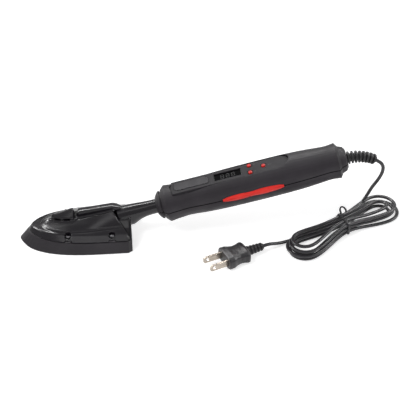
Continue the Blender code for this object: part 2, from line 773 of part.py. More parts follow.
def slotted_screw(name, place, axis, sizes):
    """A screw whose head stands at its place and whose shank runs along the axis."""
    head_radius, head_height, shank_radius, length = sizes
    place, axis = Vector(place), Vector(axis).normalized()
    side = axis.orthogonal().normalized()
    other = axis.cross(side)
    frame = Matrix((axis, side, other)).transposed().to_4x4()
    frame.translation = place
    profile = [
        (-head_height, 0),
        (-head_height, head_radius * SCREW_CROWN_SHARE),
        (-head_height * SCREW_SIDE_SHARE, head_radius),
        (0, head_radius),
        (0, shank_radius),
        (length, shank_radius),
        (length, 0),
    ]
    screw = turned_object(name, profile, SCREW_STEPS, "steel")
    reach = head_radius + OVERRUN
    half = SCREW_SLOT_WIDTH / 2
    low = (-head_height - OVERRUN, -reach, -half)
    cut(screw, block("slot", low, (-head_height + SCREW_SLOT_DEPTH, reach, half)))
    screw.data.transform(frame)
    return screw


def make_cover_screws():
    length = SCREW_LENGTH - CLAMP_THICKNESS
    sizes = (SCREW_HEAD_RADIUS, SCREW_HEAD_HEIGHT, SCREW_SHANK_RADIUS, length)
    for row, x in zip(("front", "rear"), screw_places()):
        for side, sign in (("left", 1), ("right", -1)):
            place = (x, sign * screw_across(x), pocket_floor() + GAP)
            slotted_screw(f"cover_screw_{row}_{side}", place, (0, 0, -1), sizes)


def heater_length():
    return SOLE_LENGTH - HEATER_REAR_SETBACK - HEATER_FRONT_X


def clamp_screw_places():
    inset = CLAMP_MARGIN + CLAMP_SCREW_INSET
    return (HEATER_FRONT_X + inset, HEATER_FRONT_X + heater_length() - inset)


def drill_clamp_holes(item, low, high):
    for x in clamp_screw_places():
        start, end = (x, 0, low - OVERRUN), (x, 0, high + OVERRUN)
        cut(item, rod("hole", start, end, CLAMP_SCREW_RADIUS + GAP, SCREW_STEPS))


def plate_solid(name, front, length, half_width, low, high, finish):
    """A flat plate in the shoe's outline."""
    rings = [boat_ring(front, front + length, half_width, z, z) for z in (low, high)]
    points, faces = loft(rings)
    return add_object(name, points, faces, finish)


def make_heater():
    low = SOLE_FLOOR + GAP
    high = low + HEATER_THICKNESS
    heater = plate_solid(
        "heater_plate", HEATER_FRONT_X, heater_length(), HEATER_HALF_WIDTH, low, high, "mica"
    )
    drill_clamp_holes(heater, low, high)
    return heater


def make_heater_clamp():
    low = SOLE_FLOOR + 2 * GAP + HEATER_THICKNESS
    high = low + CLAMP_THICKNESS
    front = HEATER_FRONT_X + CLAMP_MARGIN
    length = heater_length() - 2 * CLAMP_MARGIN
    clamp = plate_solid("heater_clamp", front, length, CLAMP_HALF_WIDTH, low, high, "steel")
    drill_clamp_holes(clamp, low, high)
    return clamp


def make_clamp_screws():
    top = SOLE_FLOOR + 3 * GAP + HEATER_THICKNESS + CLAMP_THICKNESS
    reach = top - SOLE_FLOOR + CLAMP_SCREW_DEPTH
    sizes = (CLAMP_SCREW_HEAD_RADIUS, CLAMP_SCREW_HEAD_HEIGHT, CLAMP_SCREW_RADIUS, reach)
    for name, x in zip(("clamp_screw_front", "clamp_screw_rear"), clamp_screw_places()):
        slotted_screw(name, (x, 0, top), (0, 0, -1), sizes)


def make_sensor():
    low = SOLE_FLOOR + 3 * GAP + HEATER_THICKNESS + CLAMP_THICKNESS
    middle = HEATER_FRONT_X + heater_length() / 2
    z = low + SENSOR_RADIUS
    start = (middle - SENSOR_LENGTH / 2, 0, z)
    end = (middle + SENSOR_LENGTH / 2, 0, z)
    return rod("temperature_sensor", start, end, SENSOR_RADIUS, SCREW_STEPS, "nickel")


def make_handle_line():
    line = bpy.data.objects.new("handle_line", None)
    bpy.context.scene.collection.objects.link(line)
    line.location = (HANDLE_LINE_X, 0, HANDLE_LINE_Z)
    line.rotation_euler = (0, -TILT, 0)
    return line


def handle_line_matrix():
    """Carries a place along the handle line into the model's frame."""
    turn = Matrix.Rotation(-TILT, 4, "Y")
    return Matrix.Translation((HANDLE_LINE_X, 0, HANDLE_LINE_Z)) @ turn


def make_neck_tube(line):
    inner = NECK_RADIUS - NECK_WALL
    profile = [(NECK_FRONT, inner), (NECK_FRONT, NECK_RADIUS), (NECK_REAR, NECK_RADIUS), (NECK_REAR, inner)]
    return turned_object("neck_tube", profile, SMALL_STEPS, "gloss_black", line)


def horn_ring(place, radius, drop):
    """A ring round the neck that hangs lower than a circle by its drop."""
    ring = []
    for i in range(SMALL_STEPS):
        angle = 2 * math.pi * i / SMALL_STEPS
        z = radius * math.sin(angle)
        if z < 0:
            z *= (radius + drop) / radius
        ring.append((place, radius * math.cos(angle), z))
    return ring


def add_horn(name, clearance=0.0):
    """The flared neck along the handle line, or with a clearance the room that it takes."""
    rings = []
    for place, radius, drop in HORN_STATIONS:
        start = HORN_FRONT - clearance if place == 0 else HORN_FRONT + place
        rings.append(horn_ring(start, radius + clearance, drop))
    rings.append(horn_ring(HORN_REAR, HORN_TAIL_RADIUS + clearance, 0))
    points, faces = loft(rings)
    return add_object(name, points, faces, None if clearance else "gloss_black")


def bracket_section(inset):
    """The rear plate's outline across the shoe, under the slopes of the cover's sides."""
    low = SOLE_HEIGHT + GAP
    half = [
        (BRACKET_FOOT_HALF_WIDTH - inset, low - OVERRUN),
        (BRACKET_FOOT_HALF_WIDTH - inset, low),
        (BRACKET_CREASE_HALF_WIDTH - inset / 2, low + BRACKET_CREASE_HEIGHT - inset / 2),
        (BRACKET_TOP_HALF_WIDTH, low + BRACKET_TOP_HEIGHT - inset / 2),
    ]
    return half + [(-y, z) for y, z in reversed(half)]


def make_rear_bracket(line):
    """The plate that closes the shoe's rear, moulded with the flared neck round the tube."""
    horn = add_horn("rear_bracket")
    horn.data.transform(line.matrix_basis)
    low = SOLE_HEIGHT + GAP
    front = SOLE_LENGTH - BRACKET_PLATE_SETBACK
    rear = front + BRACKET_PLATE_THICKNESS
    points, faces = loft([[(x, y, z) for y, z in bracket_section(0)] for x in (front, rear)])
    plate = add_object("plate", points, faces, None)
    body_front = SOLE_LENGTH - BRACKET_BODY_SETBACK
    section = bracket_section(BRACKET_BODY_INSET)
    points, faces = loft([[(x, y, z) for y, z in section] for x in (body_front, rear - GAP)])
    fuse(horn, plate, add_object("body", points, faces, None))
    side = SOLE_HALF_WIDTH + OVERRUN
    cut(horn, block("sole_room", (0, -side, 0), (SOLE_LENGTH + GAP, side, low)))
    start = line.matrix_basis @ Vector((HORN_FRONT - OVERRUN, 0, 0))
    end = line.matrix_basis @ Vector((HORN_REAR + OVERRUN, 0, 0))
    cut(horn, rod("bore", start, end, NECK_RADIUS + GAP, SMALL_STEPS))
    return horn


def handle_profile():
    """Outer outline of the two shells, from the nose to the cord end."""
    return [
        (NOSE_FACE, NOSE_RADIUS),
        ((NOSE_FACE + RING_1_AT) / 2, (NOSE_RADIUS + RING_1_RADIUS) / 2 + NOSE_BULGE),
        (RING_1_AT, RING_1_RADIUS),
        (RING_1_END, RING_1_RADIUS),
        (RING_1_END + GROOVE_SIDE, GROOVE_RADIUS),
        (GROOVE_END, GROOVE_RADIUS),
        (GROOVE_END + GROOVE_SIDE, CONE_RADIUS),
        (RIM_AT, RIM_RADIUS),
        (RIM_AT + RIM_LAND, RIM_RADIUS),
        *grip_curve(),
        (REAR_RIM_AT, REAR_RIM_RADIUS),
        (CAP_AT, CAP_RADIUS),
        (CAP_SHOULDER_AT, CAP_SHOULDER_RADIUS),
        (CAP_END - CAP_ROUND, CAP_END_RADIUS + CAP_ROUND_RADIUS),
        (CAP_END, CAP_END_RADIUS),
    ]


def grip_curve():
    """Smooth run of the grip between its two rims."""
    knots = [
        (RIM_AT + RIM_LAND, RIM_RADIUS),
        (WAIST_AT, WAIST_RADIUS),
        (BELLY_AT, BELLY_RADIUS),
        (SWELL_AT, SWELL_RADIUS),
        (GRIP_START, GRIP_RADIUS),
        (GRIP_END, GRIP_RADIUS),
        (TAPER_AT, TAPER_RADIUS),
        (TAIL_AT, TAIL_RADIUS),
        (REAR_WAIST_AT, REAR_WAIST_RADIUS),
        (REAR_RIM_AT, REAR_RIM_RADIUS),
    ]
    result = []
    for k in range(len(knots) - 1):
        (x0, r0), (x1, r1) = knots[k], knots[k + 1]
        before = knots[k - 1] if k else knots[k]
        after = knots[k + 2] if k + 2 < len(knots) else knots[k + 1]
        slope0 = (r1 - before[1]) / (x1 - before[0])
        slope1 = (after[1] - r0) / (after[0] - x0)
        if k == 0:
            result.append(((2 * x0 + x1) / 3, (2 * r0 + r1) / 3 - RIM_EASE))
        for u in (0.5, 1.0):
            span = x1 - x0
            h00, h10 = 2 * u**3 - 3 * u**2 + 1, u**3 - 2 * u**2 + u
            h01, h11 = -2 * u**3 + 3 * u**2, u**3 - u**2
            radius = h00 * r0 + h10 * span * slope0 + h01 * r1 + h11 * span * slope1
            result.append((x0 + span * u, radius))
    return result[:-1]


def handle_cavity():
    """Inner hollow of the shells, one wall under the grip."""
    inside = [(x, r - SHELL_WALL) for x, r in grip_curve() if CAVITY_FRONT < x < CAVITY_REAR]
    start = (CAVITY_FRONT, inside[0][1])
    end = (CAVITY_REAR, inside[-1][1])
    return [(CAVITY_FRONT, 0), start, *inside, end, (CAVITY_REAR, 0)]


def capsule_outline(front, rear, half_width, slant, points):
    """Panel outline: a slanted front edge and a round rear end."""
    outline = [(front + slant, half_width), (front, 0), (front + slant, -half_width)]
    centre = rear - half_width
    for i in range(points):
        angle = -math.pi / 2 + math.pi * i / (points - 1)
        outline.append((centre + half_width * math.cos(angle), half_width * math.sin(angle)))
    return outline


def make_handle_shells(line):
    profile = [(NOSE_FACE, 0), *handle_profile(), (CAP_END, 0)]
    points, faces = turned(profile, TURN_STEPS)
    whole = add_object("whole", points, faces, None)
    weld(whole)
    cavity = turned_object("cavity", handle_cavity(), TURN_STEPS // 2, None)
    cut(whole, cavity)
    neck_seat = rod(
        "neck_seat",
        (NOSE_FACE - OVERRUN, 0, 0),
        (CAVITY_FRONT + OVERRUN, 0, 0),
        HORN_TAIL_RADIUS + GAP,
        SMALL_STEPS,
    )
    flange_seat = rod(
        "flange_seat",
        (CAP_END - RELIEF_STEM_LENGTH + GAP, 0, 0),
        (CAVITY_REAR - OVERRUN, 0, 0),
        RELIEF_FLANGE_RADIUS + GAP,
        SMALL_STEPS,
    )
    stem_seat = rod(
        "stem_seat",
        (CAVITY_REAR - OVERRUN, 0, 0),
        (CAP_END + OVERRUN, 0, 0),
        RELIEF_STEM_RADIUS + GAP,
        SMALL_STEPS,
    )
    cut(whole, neck_seat, flange_seat, stem_seat)
    for sign in (1, -1):
        cut(whole, inlay_solid("inlay_pocket", sign, GAP))
    reach = RIM_RADIUS + OVERRUN
    front, rear = NOSE_FACE - OVERRUN, CAP_END + OVERRUN
    half_gap = PARTING_GAP / 2
    upper = whole
    lower = bpy.data.objects.new("lower", whole.data.copy())
    bpy.context.scene.collection.objects.link(lower)
    cut(upper, block("under", (front, -2 * reach, -2 * reach), (rear, 2 * reach, half_gap)))
    cut(lower, block("over", (front, -2 * reach, -half_gap), (rear, 2 * reach, 2 * reach)))
    upper.name, lower.name = "handle_upper_shell", "handle_lower_shell"
    for shell in (upper, lower):
        shell.data.materials.clear()
        shell.data.materials.append(finish_named("matte_charcoal"))
    for place in BOSS_PLACES:
        add_bosses(upper, lower, place)
    half_width = PANEL_HALF_WIDTH + GAP
    panel = capsule_outline(PANEL_FRONT, PANEL_REAR, half_width, PANEL_FRONT_SLANT, PANEL_ROUND_POINTS)
    cut(upper, prism("panel_seat", panel, PANEL_SEAT_Z, 2 * reach))
    window = [(BOARD_FRONT, -BOARD_HALF_WIDTH), (BOARD_REAR, -BOARD_HALF_WIDTH)]
    window += [(BOARD_REAR, BOARD_HALF_WIDTH), (BOARD_FRONT, BOARD_HALF_WIDTH)]
    inner = [(x, y * (PANEL_HALF_WIDTH - PANEL_LEDGE) / BOARD_HALF_WIDTH) for x, y in window]
    cut(upper, prism("panel_window", inner, 0, PANEL_SEAT_Z + OVERRUN))
    upper.parent = line
    lower.parent = line
    return upper, lower


def add_bosses(upper, lower, place):
    """Screw bosses that meet at the parting line, drilled and sunk from the lower shell's outside."""
    wall = grip_radius_at(place) - SHELL_WALL / 2
    outside = grip_radius_at(place) + OVERRUN
    shank = HANDLE_SCREW_RADIUS + GAP
    face = PARTING_GAP / 2
    fuse(upper, rod("boss", (place, 0, face), (place, 0, wall), BOSS_RADIUS, SCREW_STEPS))
    fuse(lower, rod("boss", (place, 0, -wall), (place, 0, -face), BOSS_RADIUS, SCREW_STEPS))
    reach = HANDLE_SCREW_LENGTH - HANDLE_SCREW_HEAD_LEVEL + GAP
    cut(upper, rod("pilot", (place, 0, -OVERRUN), (place, 0, reach), shank, SCREW_STEPS))
    cut(lower, rod("bore", (place, 0, -outside), (place, 0, OVERRUN), shank, SCREW_STEPS))
    level = -HANDLE_SCREW_HEAD_LEVEL
    head = HANDLE_SCREW_HEAD_RADIUS + GAP
    cut(lower, rod("sink", (place, 0, -outside), (place, 0, level), head, SCREW_STEPS))


def make_handle_screws(line):
    sizes = (HANDLE_SCREW_HEAD_RADIUS, HANDLE_SCREW_HEAD_HEIGHT, HANDLE_SCREW_RADIUS, HANDLE_SCREW_LENGTH)
    for name, place in zip(("handle_screw_front", "handle_screw_rear"), BOSS_PLACES):
        level = -HANDLE_SCREW_HEAD_LEVEL - GAP
        screw = slotted_screw(name, (place, 0, level), (0, 0, 1), sizes)
        screw.parent = line


def inlay_outline(clearance):
    """Two-lobed outline of a side inlay, along the handle and up from the parting line."""
    length = INLAY_REAR - INLAY_FRONT
    upper = []
    for i in range(INLAY_POINTS + 1):
        t = i / INLAY_POINTS
        lobe = math.sin(math.pi * t) ** INLAY_ROUND_POWER
        waist = math.exp(-(((t - INLAY_WAIST_SHARE) / INLAY_WAIST_LENGTH_SHARE) ** 2))
        half = INLAY_LOBE_HALF_WIDTH - (INLAY_LOBE_HALF_WIDTH - INLAY_WAIST_HALF_WIDTH) * waist
        half = INLAY_TIP_HALF_WIDTH + (half - INLAY_TIP_HALF_WIDTH) * lobe
        x = INLAY_FRONT - clearance + (length + 2 * clearance) * t
        upper.append((x, half + clearance))
    return upper + [(x, -z) for x, z in reversed(upper)]


def inlay_solid(name, sign, clearance):
    """A side inlay from its floor in the shell out past the grip."""
    inner = GRIP_RADIUS - INLAY_DEPTH - clearance
    outer = GRIP_RADIUS + INLAY_PROUD + (OVERRUN if clearance else 0)
    outline = inlay_outline(clearance)
    points, faces = loft([[(x, sign * y, z) for x, z in outline] for y in (inner, outer)])
    return add_object(name, points, faces, None)


def make_inlay(name, sign, line):
    """The red inlay, crowned along its middle and following the grip's round."""
    outline = inlay_outline(0)
    count = len(outline)
    rings = []
    inner = GRIP_RADIUS - INLAY_DEPTH
    rings.append([(x, sign * inner, z) for x, z in outline])
    rings.append([(x, sign * edge_radius(x, z), z) for x, z in outline])
    crowned = []
    for x, z in outline:
        z_in = z * INLAY_CROWN_SHARE
        crowned.append((x, sign * (edge_radius(x, z_in) + INLAY_PROUD), z_in))
    rings.append(crowned)
    points, faces = loft(rings, True, False)
    base = 2 * count
    half = count // 2
    for i in range(half - 1):
        faces.append((base + i, base + i + 1, base + count - 2 - i, base + count - 1 - i))
    item = add_object(name, points, faces, "red_rubber", line)
    return item


def edge_radius(x, z):
    """Where the grip's surface lies across the handle, at a height above the parting line."""
    radius = grip_radius_at(x)
    return math.sqrt(radius * radius - z * z)


def grip_radius_at(x):
    curve = grip_curve()
    for (x0, r0), (x1, r1) in zip(curve, curve[1:]):
        if x0 <= x <= x1:
            return r0 + (r1 - r0) * (x - x0) / (x1 - x0)
    return GRIP_RADIUS


def panel_top():
    return PANEL_SEAT_Z + GAP + PANEL_THICKNESS


def make_control_panel(line):
    shape = (PANEL_HALF_WIDTH, PANEL_FRONT_SLANT, PANEL_ROUND_POINTS)
    outline = capsule_outline(PANEL_FRONT, PANEL_REAR, *shape)
    inset = capsule_outline(
        PANEL_FRONT + PANEL_CHAMFER,
        PANEL_REAR - PANEL_CHAMFER,
        PANEL_HALF_WIDTH - PANEL_CHAMFER,
        PANEL_FRONT_SLANT,
        PANEL_ROUND_POINTS,
    )
    low, high = PANEL_SEAT_Z + GAP, panel_top()
    rings = [
        [(x, y, low) for x, y in outline],
        [(x, y, high - PANEL_CHAMFER) for x, y in outline],
        [(x, y, high) for x, y in inset],
    ]
    points, faces = loft(rings)
    panel = add_object("control_panel", points, faces, "panel_grey", None)
    half = DISPLAY_HALF_WIDTH
    cut(
        panel,
        block("window", (DISPLAY_FRONT, -half, low - OVERRUN), (DISPLAY_REAR, half, high + OVERRUN)),
        prism("badge_seat", badge_outline(GAP), high - BADGE_SINK, high + OVERRUN),
    )
    for x, y in button_places().values():
        start, end = (x, y, low - OVERRUN), (x, y, high + OVERRUN)
        cut(panel, rod("hole", start, end, BUTTON_RADIUS + GAP, SMALL_STEPS))
        ring_low = high - BUTTON_RING_DEPTH
        cut(panel, rod("ring", (x, y, ring_low), (x, y, high + OVERRUN), BUTTON_RING_RADIUS, SMALL_STEPS))
    panel.parent = line
    return panel


def badge_outline(clearance):
    """A slanted lozenge with cut corners, left bare."""
    front, rear = BADGE_FRONT - clearance, BADGE_REAR + clearance
    half = BADGE_HALF_WIDTH + clearance
    return [
        (front, -half + BADGE_SLANT),
        (front + BADGE_SLANT, -half),
        (rear - BADGE_SLANT / 2, -half),
        (rear, -half + BADGE_SLANT / 2),
        (rear, half - BADGE_SLANT),
        (rear - BADGE_SLANT, half),
        (front + BADGE_SLANT / 2, half),
        (front, half - BADGE_SLANT / 2),
    ]


def make_badge(line):
    low = panel_top() - BADGE_SINK + GAP
    return prism("badge_plate", badge_outline(0), low, panel_top() + BADGE_PROUD, "panel_grey", line)


def make_display(line):
    """The clear lens sunk in the panel's window and the display module under it."""
    half = DISPLAY_HALF_WIDTH - GAP
    top = PANEL_SEAT_Z + GAP + LENS_THICKNESS
    low = PANEL_SEAT_Z + GAP
    lens = block(
        "display_lens",
        (DISPLAY_FRONT + GAP, -half, low),
        (DISPLAY_REAR - GAP, half, top),
        "display_dark",
        line,
    )
    margin = LCD_MARGIN
    module_top = low - GAP
    module = block(
        "lcd_module",
        (DISPLAY_FRONT - margin, -half - margin / 2, BOARD_TOP_Z + GAP),
        (DISPLAY_REAR + margin, half + margin / 2, module_top),
        "board_green",
        line,
    )
    return lens, module


def button_places():
    return {
        "button_up": (BUTTON_PAIR_AT, BUTTON_PAIR_HALF_SPACING),
        "button_down": (BUTTON_PAIR_AT, -BUTTON_PAIR_HALF_SPACING),
        "button_power": (BUTTON_REAR_AT, 0.0),
    }


def make_button(name, place, line):
    """A domed cap with a flange that keeps it under the panel, its origin on the joint's axis."""
    x, y = place
    radius = BUTTON_RADIUS
    top = panel_top() + BUTTON_PROUD
    flange_top = PANEL_SEAT_Z
    flange_low = flange_top - BUTTON_FLANGE_HEIGHT
    dome = [(radius * share, top - drop) for share, drop in BUTTON_DOME]
    outline = [(0, flange_low), (BUTTON_FLANGE_RADIUS, flange_low), (BUTTON_FLANGE_RADIUS, flange_top)]
    outline += [(radius, flange_top), *dome, (0, top)]
    profile = [(z - top, r) for r, z in outline]
    points, faces = turned(profile, SMALL_STEPS)
    upright = [(py, pz, px) for px, py, pz in points]
    item = add_object(name, upright, faces, "red_rubber", line)
    weld(item)
    item.location = (x, y, top)
    return item


def make_board(line):
    half = BOARD_HALF_WIDTH
    board = block(
        "circuit_board",
        (BOARD_FRONT, -half, BOARD_TOP_Z - BOARD_THICKNESS),
        (BOARD_REAR, half, BOARD_TOP_Z),
        "board_green",
        line,
    )
    size = SWITCH_HALF_SIZE
    low = BOARD_TOP_Z + GAP
    plunger_top = PANEL_SEAT_Z - BUTTON_FLANGE_HEIGHT - BUTTON_TRAVEL - GAP
    for button, (x, y) in button_places().items():
        name = button.replace("button", "switch")
        low_corner, high_corner = (x - size, y - size, low), (x + size, y + size, low + SWITCH_HEIGHT)
        switch = block(name, low_corner, high_corner, "steel")
        plunger_foot = low + SWITCH_HEIGHT / 2
        fuse(switch, rod("plunger", (x, y, plunger_foot), (x, y, plunger_top), size / 2, SCREW_STEPS))
        switch.parent = line
    return board


def make_strain_relief(line):
    """A ribbed sleeve that bends down from the handle line, with a flange inside the shells."""
    bend = math.radians(RELIEF_BEND_DEG)
    turn_radius = RELIEF_LENGTH / bend
    stations = []
    steps_per_rib = len(RELIEF_RIB_SHARES)
    count = RELIEF_RIBS * steps_per_rib
    core = RELIEF_CORE_SHARE
    pattern = (core, 1.0, 1.0, core)
    for i in range(count):
        share = (i // steps_per_rib + RELIEF_RIB_SHARES[i % steps_per_rib]) / RELIEF_RIBS
        outer = RELIEF_ROOT_RADIUS + (RELIEF_TIP_RADIUS - RELIEF_ROOT_RADIUS) * share
        stations.append((share, outer * pattern[i % steps_per_rib]))
    stations.append((1.0, RELIEF_TIP_RADIUS * core))

    def ring_at(length, radius):
        angle = bend * length / RELIEF_LENGTH
        along = CAP_END + GAP + turn_radius * math.sin(angle)
        centre = Vector((along, 0, -turn_radius * (1 - math.cos(angle))))
        up = Vector((math.sin(angle), 0, math.cos(angle)))
        ring = []
        for k in range(RELIEF_STEPS):
            around = 2 * math.pi * k / RELIEF_STEPS
            ring.append(centre + radius * (math.cos(around) * Vector((0, 1, 0)) + math.sin(around) * up))
        return ring

    def straight_ring(x, radius):
        ring = []
        for k in range(RELIEF_STEPS):
            around = 2 * math.pi * k / RELIEF_STEPS
            ring.append(Vector((x, radius * math.cos(around), radius * math.sin(around))))
        return ring

    stem_front = CAP_END - RELIEF_STEM_LENGTH
    flange_rear = stem_front
    flange_front = flange_rear - RELIEF_FLANGE_THICKNESS
    rings = [straight_ring(flange_front, RELIEF_BORE_RADIUS)]
    rings += [straight_ring(place, RELIEF_FLANGE_RADIUS) for place in (flange_front, flange_rear)]
    rings += [straight_ring(flange_rear, RELIEF_STEM_RADIUS), straight_ring(CAP_END, RELIEF_STEM_RADIUS)]
    rings += [ring_at(share * RELIEF_LENGTH, radius) for share, radius in stations]
    rings += [ring_at(share * RELIEF_LENGTH, RELIEF_BORE_RADIUS) for share in RELIEF_BORE_SHARES]
    points, faces = loft(rings, False, False)
    count = RELIEF_STEPS
    last = len(rings) - 1
    for i in range(count):
        j = (i + 1) % count
        faces.append((last * count + i, last * count + j, j, i))
    return add_object("strain_relief", points, faces, "rubber_black", line)


def relief_end():
    """World point and direction in which the lead leaves the strain relief."""
    bend = math.radians(RELIEF_BEND_DEG)
    turn_radius = RELIEF_LENGTH / bend
    local = Vector((CAP_END + GAP + turn_radius * math.sin(bend), 0, -turn_radius * (1 - math.cos(bend))))
    frame = Matrix.Rotation(-TILT, 4, "Y")
    place = frame @ local + Vector((HANDLE_LINE_X, 0, HANDLE_LINE_Z))
    direction = frame @ Vector((math.cos(bend), 0, -math.sin(bend)))
    return place, direction


def cord_route(start, way_out, middle, end, way_in):
    """A smooth run of points whose first and last cord diameters are straight."""
    first = start + way_out * CORD_DIAMETER
    last = end - way_in * CORD_DIAMETER
    route = [first, *(Vector(p) for p in middle), last]
    before = route[0] - way_out * (route[1] - route[0]).length
    after = route[-1] + way_in * (route[-1] - route[-2]).length
    return [start, *smooth_run([before, *route, after], CORD_SPACING), end]


def smooth_run(ends, spacing):
    """Points at even spacing on a smooth curve through all but the first and last of the given ones."""
    fine = []
    for k in range(1, len(ends) - 2):
        p0, p1, p2, p3 = ends[k - 1 : k + 3]
        for i in range(CURVE_STEPS):
            u = i / CURVE_STEPS
            fine.append(
                0.5
                * (
                    2 * p1
                    + (p2 - p0) * u
                    + (2 * p0 - 5 * p1 + 4 * p2 - p3) * u**2
                    + (3 * p1 - p0 - 3 * p2 + p3) * u**3
                )
            )
    fine.append(ends[-2])
    total = sum((b - a).length for a, b in zip(fine, fine[1:]))
    count = max(4, round(total / spacing))
    wanted = [total * i / count for i in range(count + 1)]
    result, walked, k = [], 0.0, 0
    for target in wanted:
        while k < len(fine) - 2 and walked + (fine[k + 1] - fine[k]).length < target:
            walked += (fine[k + 1] - fine[k]).length
            k += 1
        step = (fine[k + 1] - fine[k]).length
        result.append(fine[k].lerp(fine[k + 1], min(1.0, (target - walked) / step)))
    return result


def tube(name, points, radius, resolution, finish):
    """A round tube along a polyline, with filled ends."""
    curve = bpy.data.curves.new(name, "CURVE")
    curve.dimensions = "3D"
    spline = curve.splines.new("POLY")
    spline.points.add(len(points) - 1)
    for point, place in zip(spline.points, points):
        point.co = (*place, 1.0)
    curve.bevel_depth = radius
    curve.bevel_resolution = resolution
    curve.use_fill_caps = True
    curve.materials.append(finish_named(finish))
    item = bpy.data.objects.new(name, curve)
    bpy.context.scene.collection.objects.link(item)
    return item


def hank_local(turn, widening):
    """A point of a loop in the hank's frame, the turn counted from the near side of its far end."""
    share = turn % 1.0
    quarter = 4 * share
    far, near = HANK_FAR_RADIUS, HANK_NEAR_RADIUS
    if quarter < 1 or 2 <= quarter < 3:
        at_far = quarter < 1
        centre = HANK_END_AT if at_far else -HANK_END_AT
        radius = (far if at_far else near) + widening
        angle = math.pi * (quarter - 0.5) if at_far else math.pi * (quarter - 1.5)
        return centre + radius * math.cos(angle), radius * math.sin(angle)
    side = 1 if quarter < 2 else -1
    walked = quarter % 1.0
    along = side * HANK_END_AT * (1 - 2 * walked)
    blend = 0.5 + 0.5 * along / HANK_END_AT
    blend = blend * blend * (3 - 2 * blend)
    plain = near + (far - near) * blend
    drawn_in = (1 - (along / HANK_END_AT) ** 2) ** 2
    return along, side * (plain + widening - (plain - HANK_WAIST) * drawn_in)


def hank_widening(turn):
    """How far outside the innermost loop the cord lies, changing at a steady rate."""
    wide = (HANK_TURNS[1] - HANK_TURNS[0]) * HANK_STEP
    for k, (start, end) in enumerate(zip(HANK_TURNS, HANK_TURNS[1:])):
        sign = 1 if k % 2 else -1
        if turn <= end:
            return wide + sign * (turn - start) * HANK_STEP
        wide += sign * (end - start) * HANK_STEP
    return wide


def hank_height(turn, along):
    """Layers from the top one down, each climb along a run, all lifted a little at the waist."""
    layers = len(HANK_TURNS) - 2
    for place in HANK_TURNS[1:-1]:
        fall = min(1.0, max(0.0, (turn - place) / (2 * HANK_WIDENING) + 0.5))
        layers -= fall * fall * (3 - 2 * fall)
    lift = HANK_WAIST_LIFT * math.exp(-((along / HANK_LIFT_LENGTH) ** 2))
    return CORD_RADIUS + CORD_LIFT + HANK_LAYER_STEP * layers + lift


def hank_world(along, across, height):
    turn = math.radians(HANK_TURN_DEG)
    x = HANK_CENTRE[0] + along * math.cos(turn) - across * math.sin(turn)
    y = HANK_CENTRE[1] + along * math.sin(turn) + across * math.cos(turn)
    return Vector((x, y, height))


def hank_points():
    """One unbroken run in four layers, spiralling in and out by turns from the top one down."""
    first, last = HANK_TURNS[0], HANK_TURNS[-1]
    count = round((last - first) * HANK_LOOP_POINTS)
    points = []
    for i in range(count + 1):
        turn = first + (last - first) * i / count
        along, across = hank_local(turn, hank_widening(turn))
        points.append(hank_world(along, across, hank_height(turn, along)))
    return straight_ends(points)


def straight_ends(points):
    """Adds a level first and last stretch of one cord diameter to a run of points."""
    first = (points[0] - points[1]) * Vector((1, 1, 0))
    last = (points[-1] - points[-2]) * Vector((1, 1, 0))
    head = points[0] + first.normalized() * CORD_DIAMETER
    foot = points[-1] + last.normalized() * CORD_DIAMETER
    return [head, *points, foot]


def polyline_length(points):
    return sum((b - a).length for a, b in zip(points, points[1:]))


def squared(cosine, power):
    return math.copysign(abs(cosine) ** power, cosine)


def tie_points():
    """Once round the waist, drifting along it, then up into a small ring on the far side."""
    middle = CORD_LIFT + TIE_CLEARANCE + TIE_RADIUS + TIE_HALF_HEIGHT
    points = []
    for i in range(TIE_LOOP_POINTS + 1):
        angle = math.radians(TIE_START_DEG) + 2 * math.pi * i / TIE_LOOP_POINTS
        across = TIE_HALF_WIDTH * squared(math.cos(angle), TIE_SQUARENESS)
        height = middle + TIE_HALF_HEIGHT * squared(math.sin(angle), TIE_SQUARENESS)
        points.append((TIE_DRIFT * (i / TIE_LOOP_POINTS - 0.5), across, height))
    _, start_across, start_height = points[-1]
    radius = TIE_CURL_RADIUS
    for i in range(1, TIE_CURL_POINTS + 1):
        angle = -math.pi / 2 + TIE_CURL_TURN * math.pi * i / TIE_CURL_POINTS
        along = TIE_DRIFT / 2 + TIE_DRIFT * i / TIE_CURL_POINTS
        across = start_across + radius * math.cos(angle)
        height = start_height + radius * (1 + math.sin(angle))
        points.append((along, across, height))
    return [hank_world(*place) for place in points]


def make_tie():
    wire = tie_points()
    tube("wire_tie", wire, TIE_RADIUS, 1, "rubber_black")


def plug_frame():
    frame = Matrix.Rotation(math.radians(PLUG_TURN_DEG), 4, "Z")
    frame.translation = Vector((*PLUG_FRONT, PLUG_AXIS_Z))
    return frame


def plug_ring(place, half_width, half_height, power):
    ring = []
    for i in range(PLUG_POINTS):
        angle = 2 * math.pi * i / PLUG_POINTS
        y = half_width * squared(math.cos(angle), power)
        z = half_height * squared(math.sin(angle), power)
        ring.append((place, y, z))
    return ring


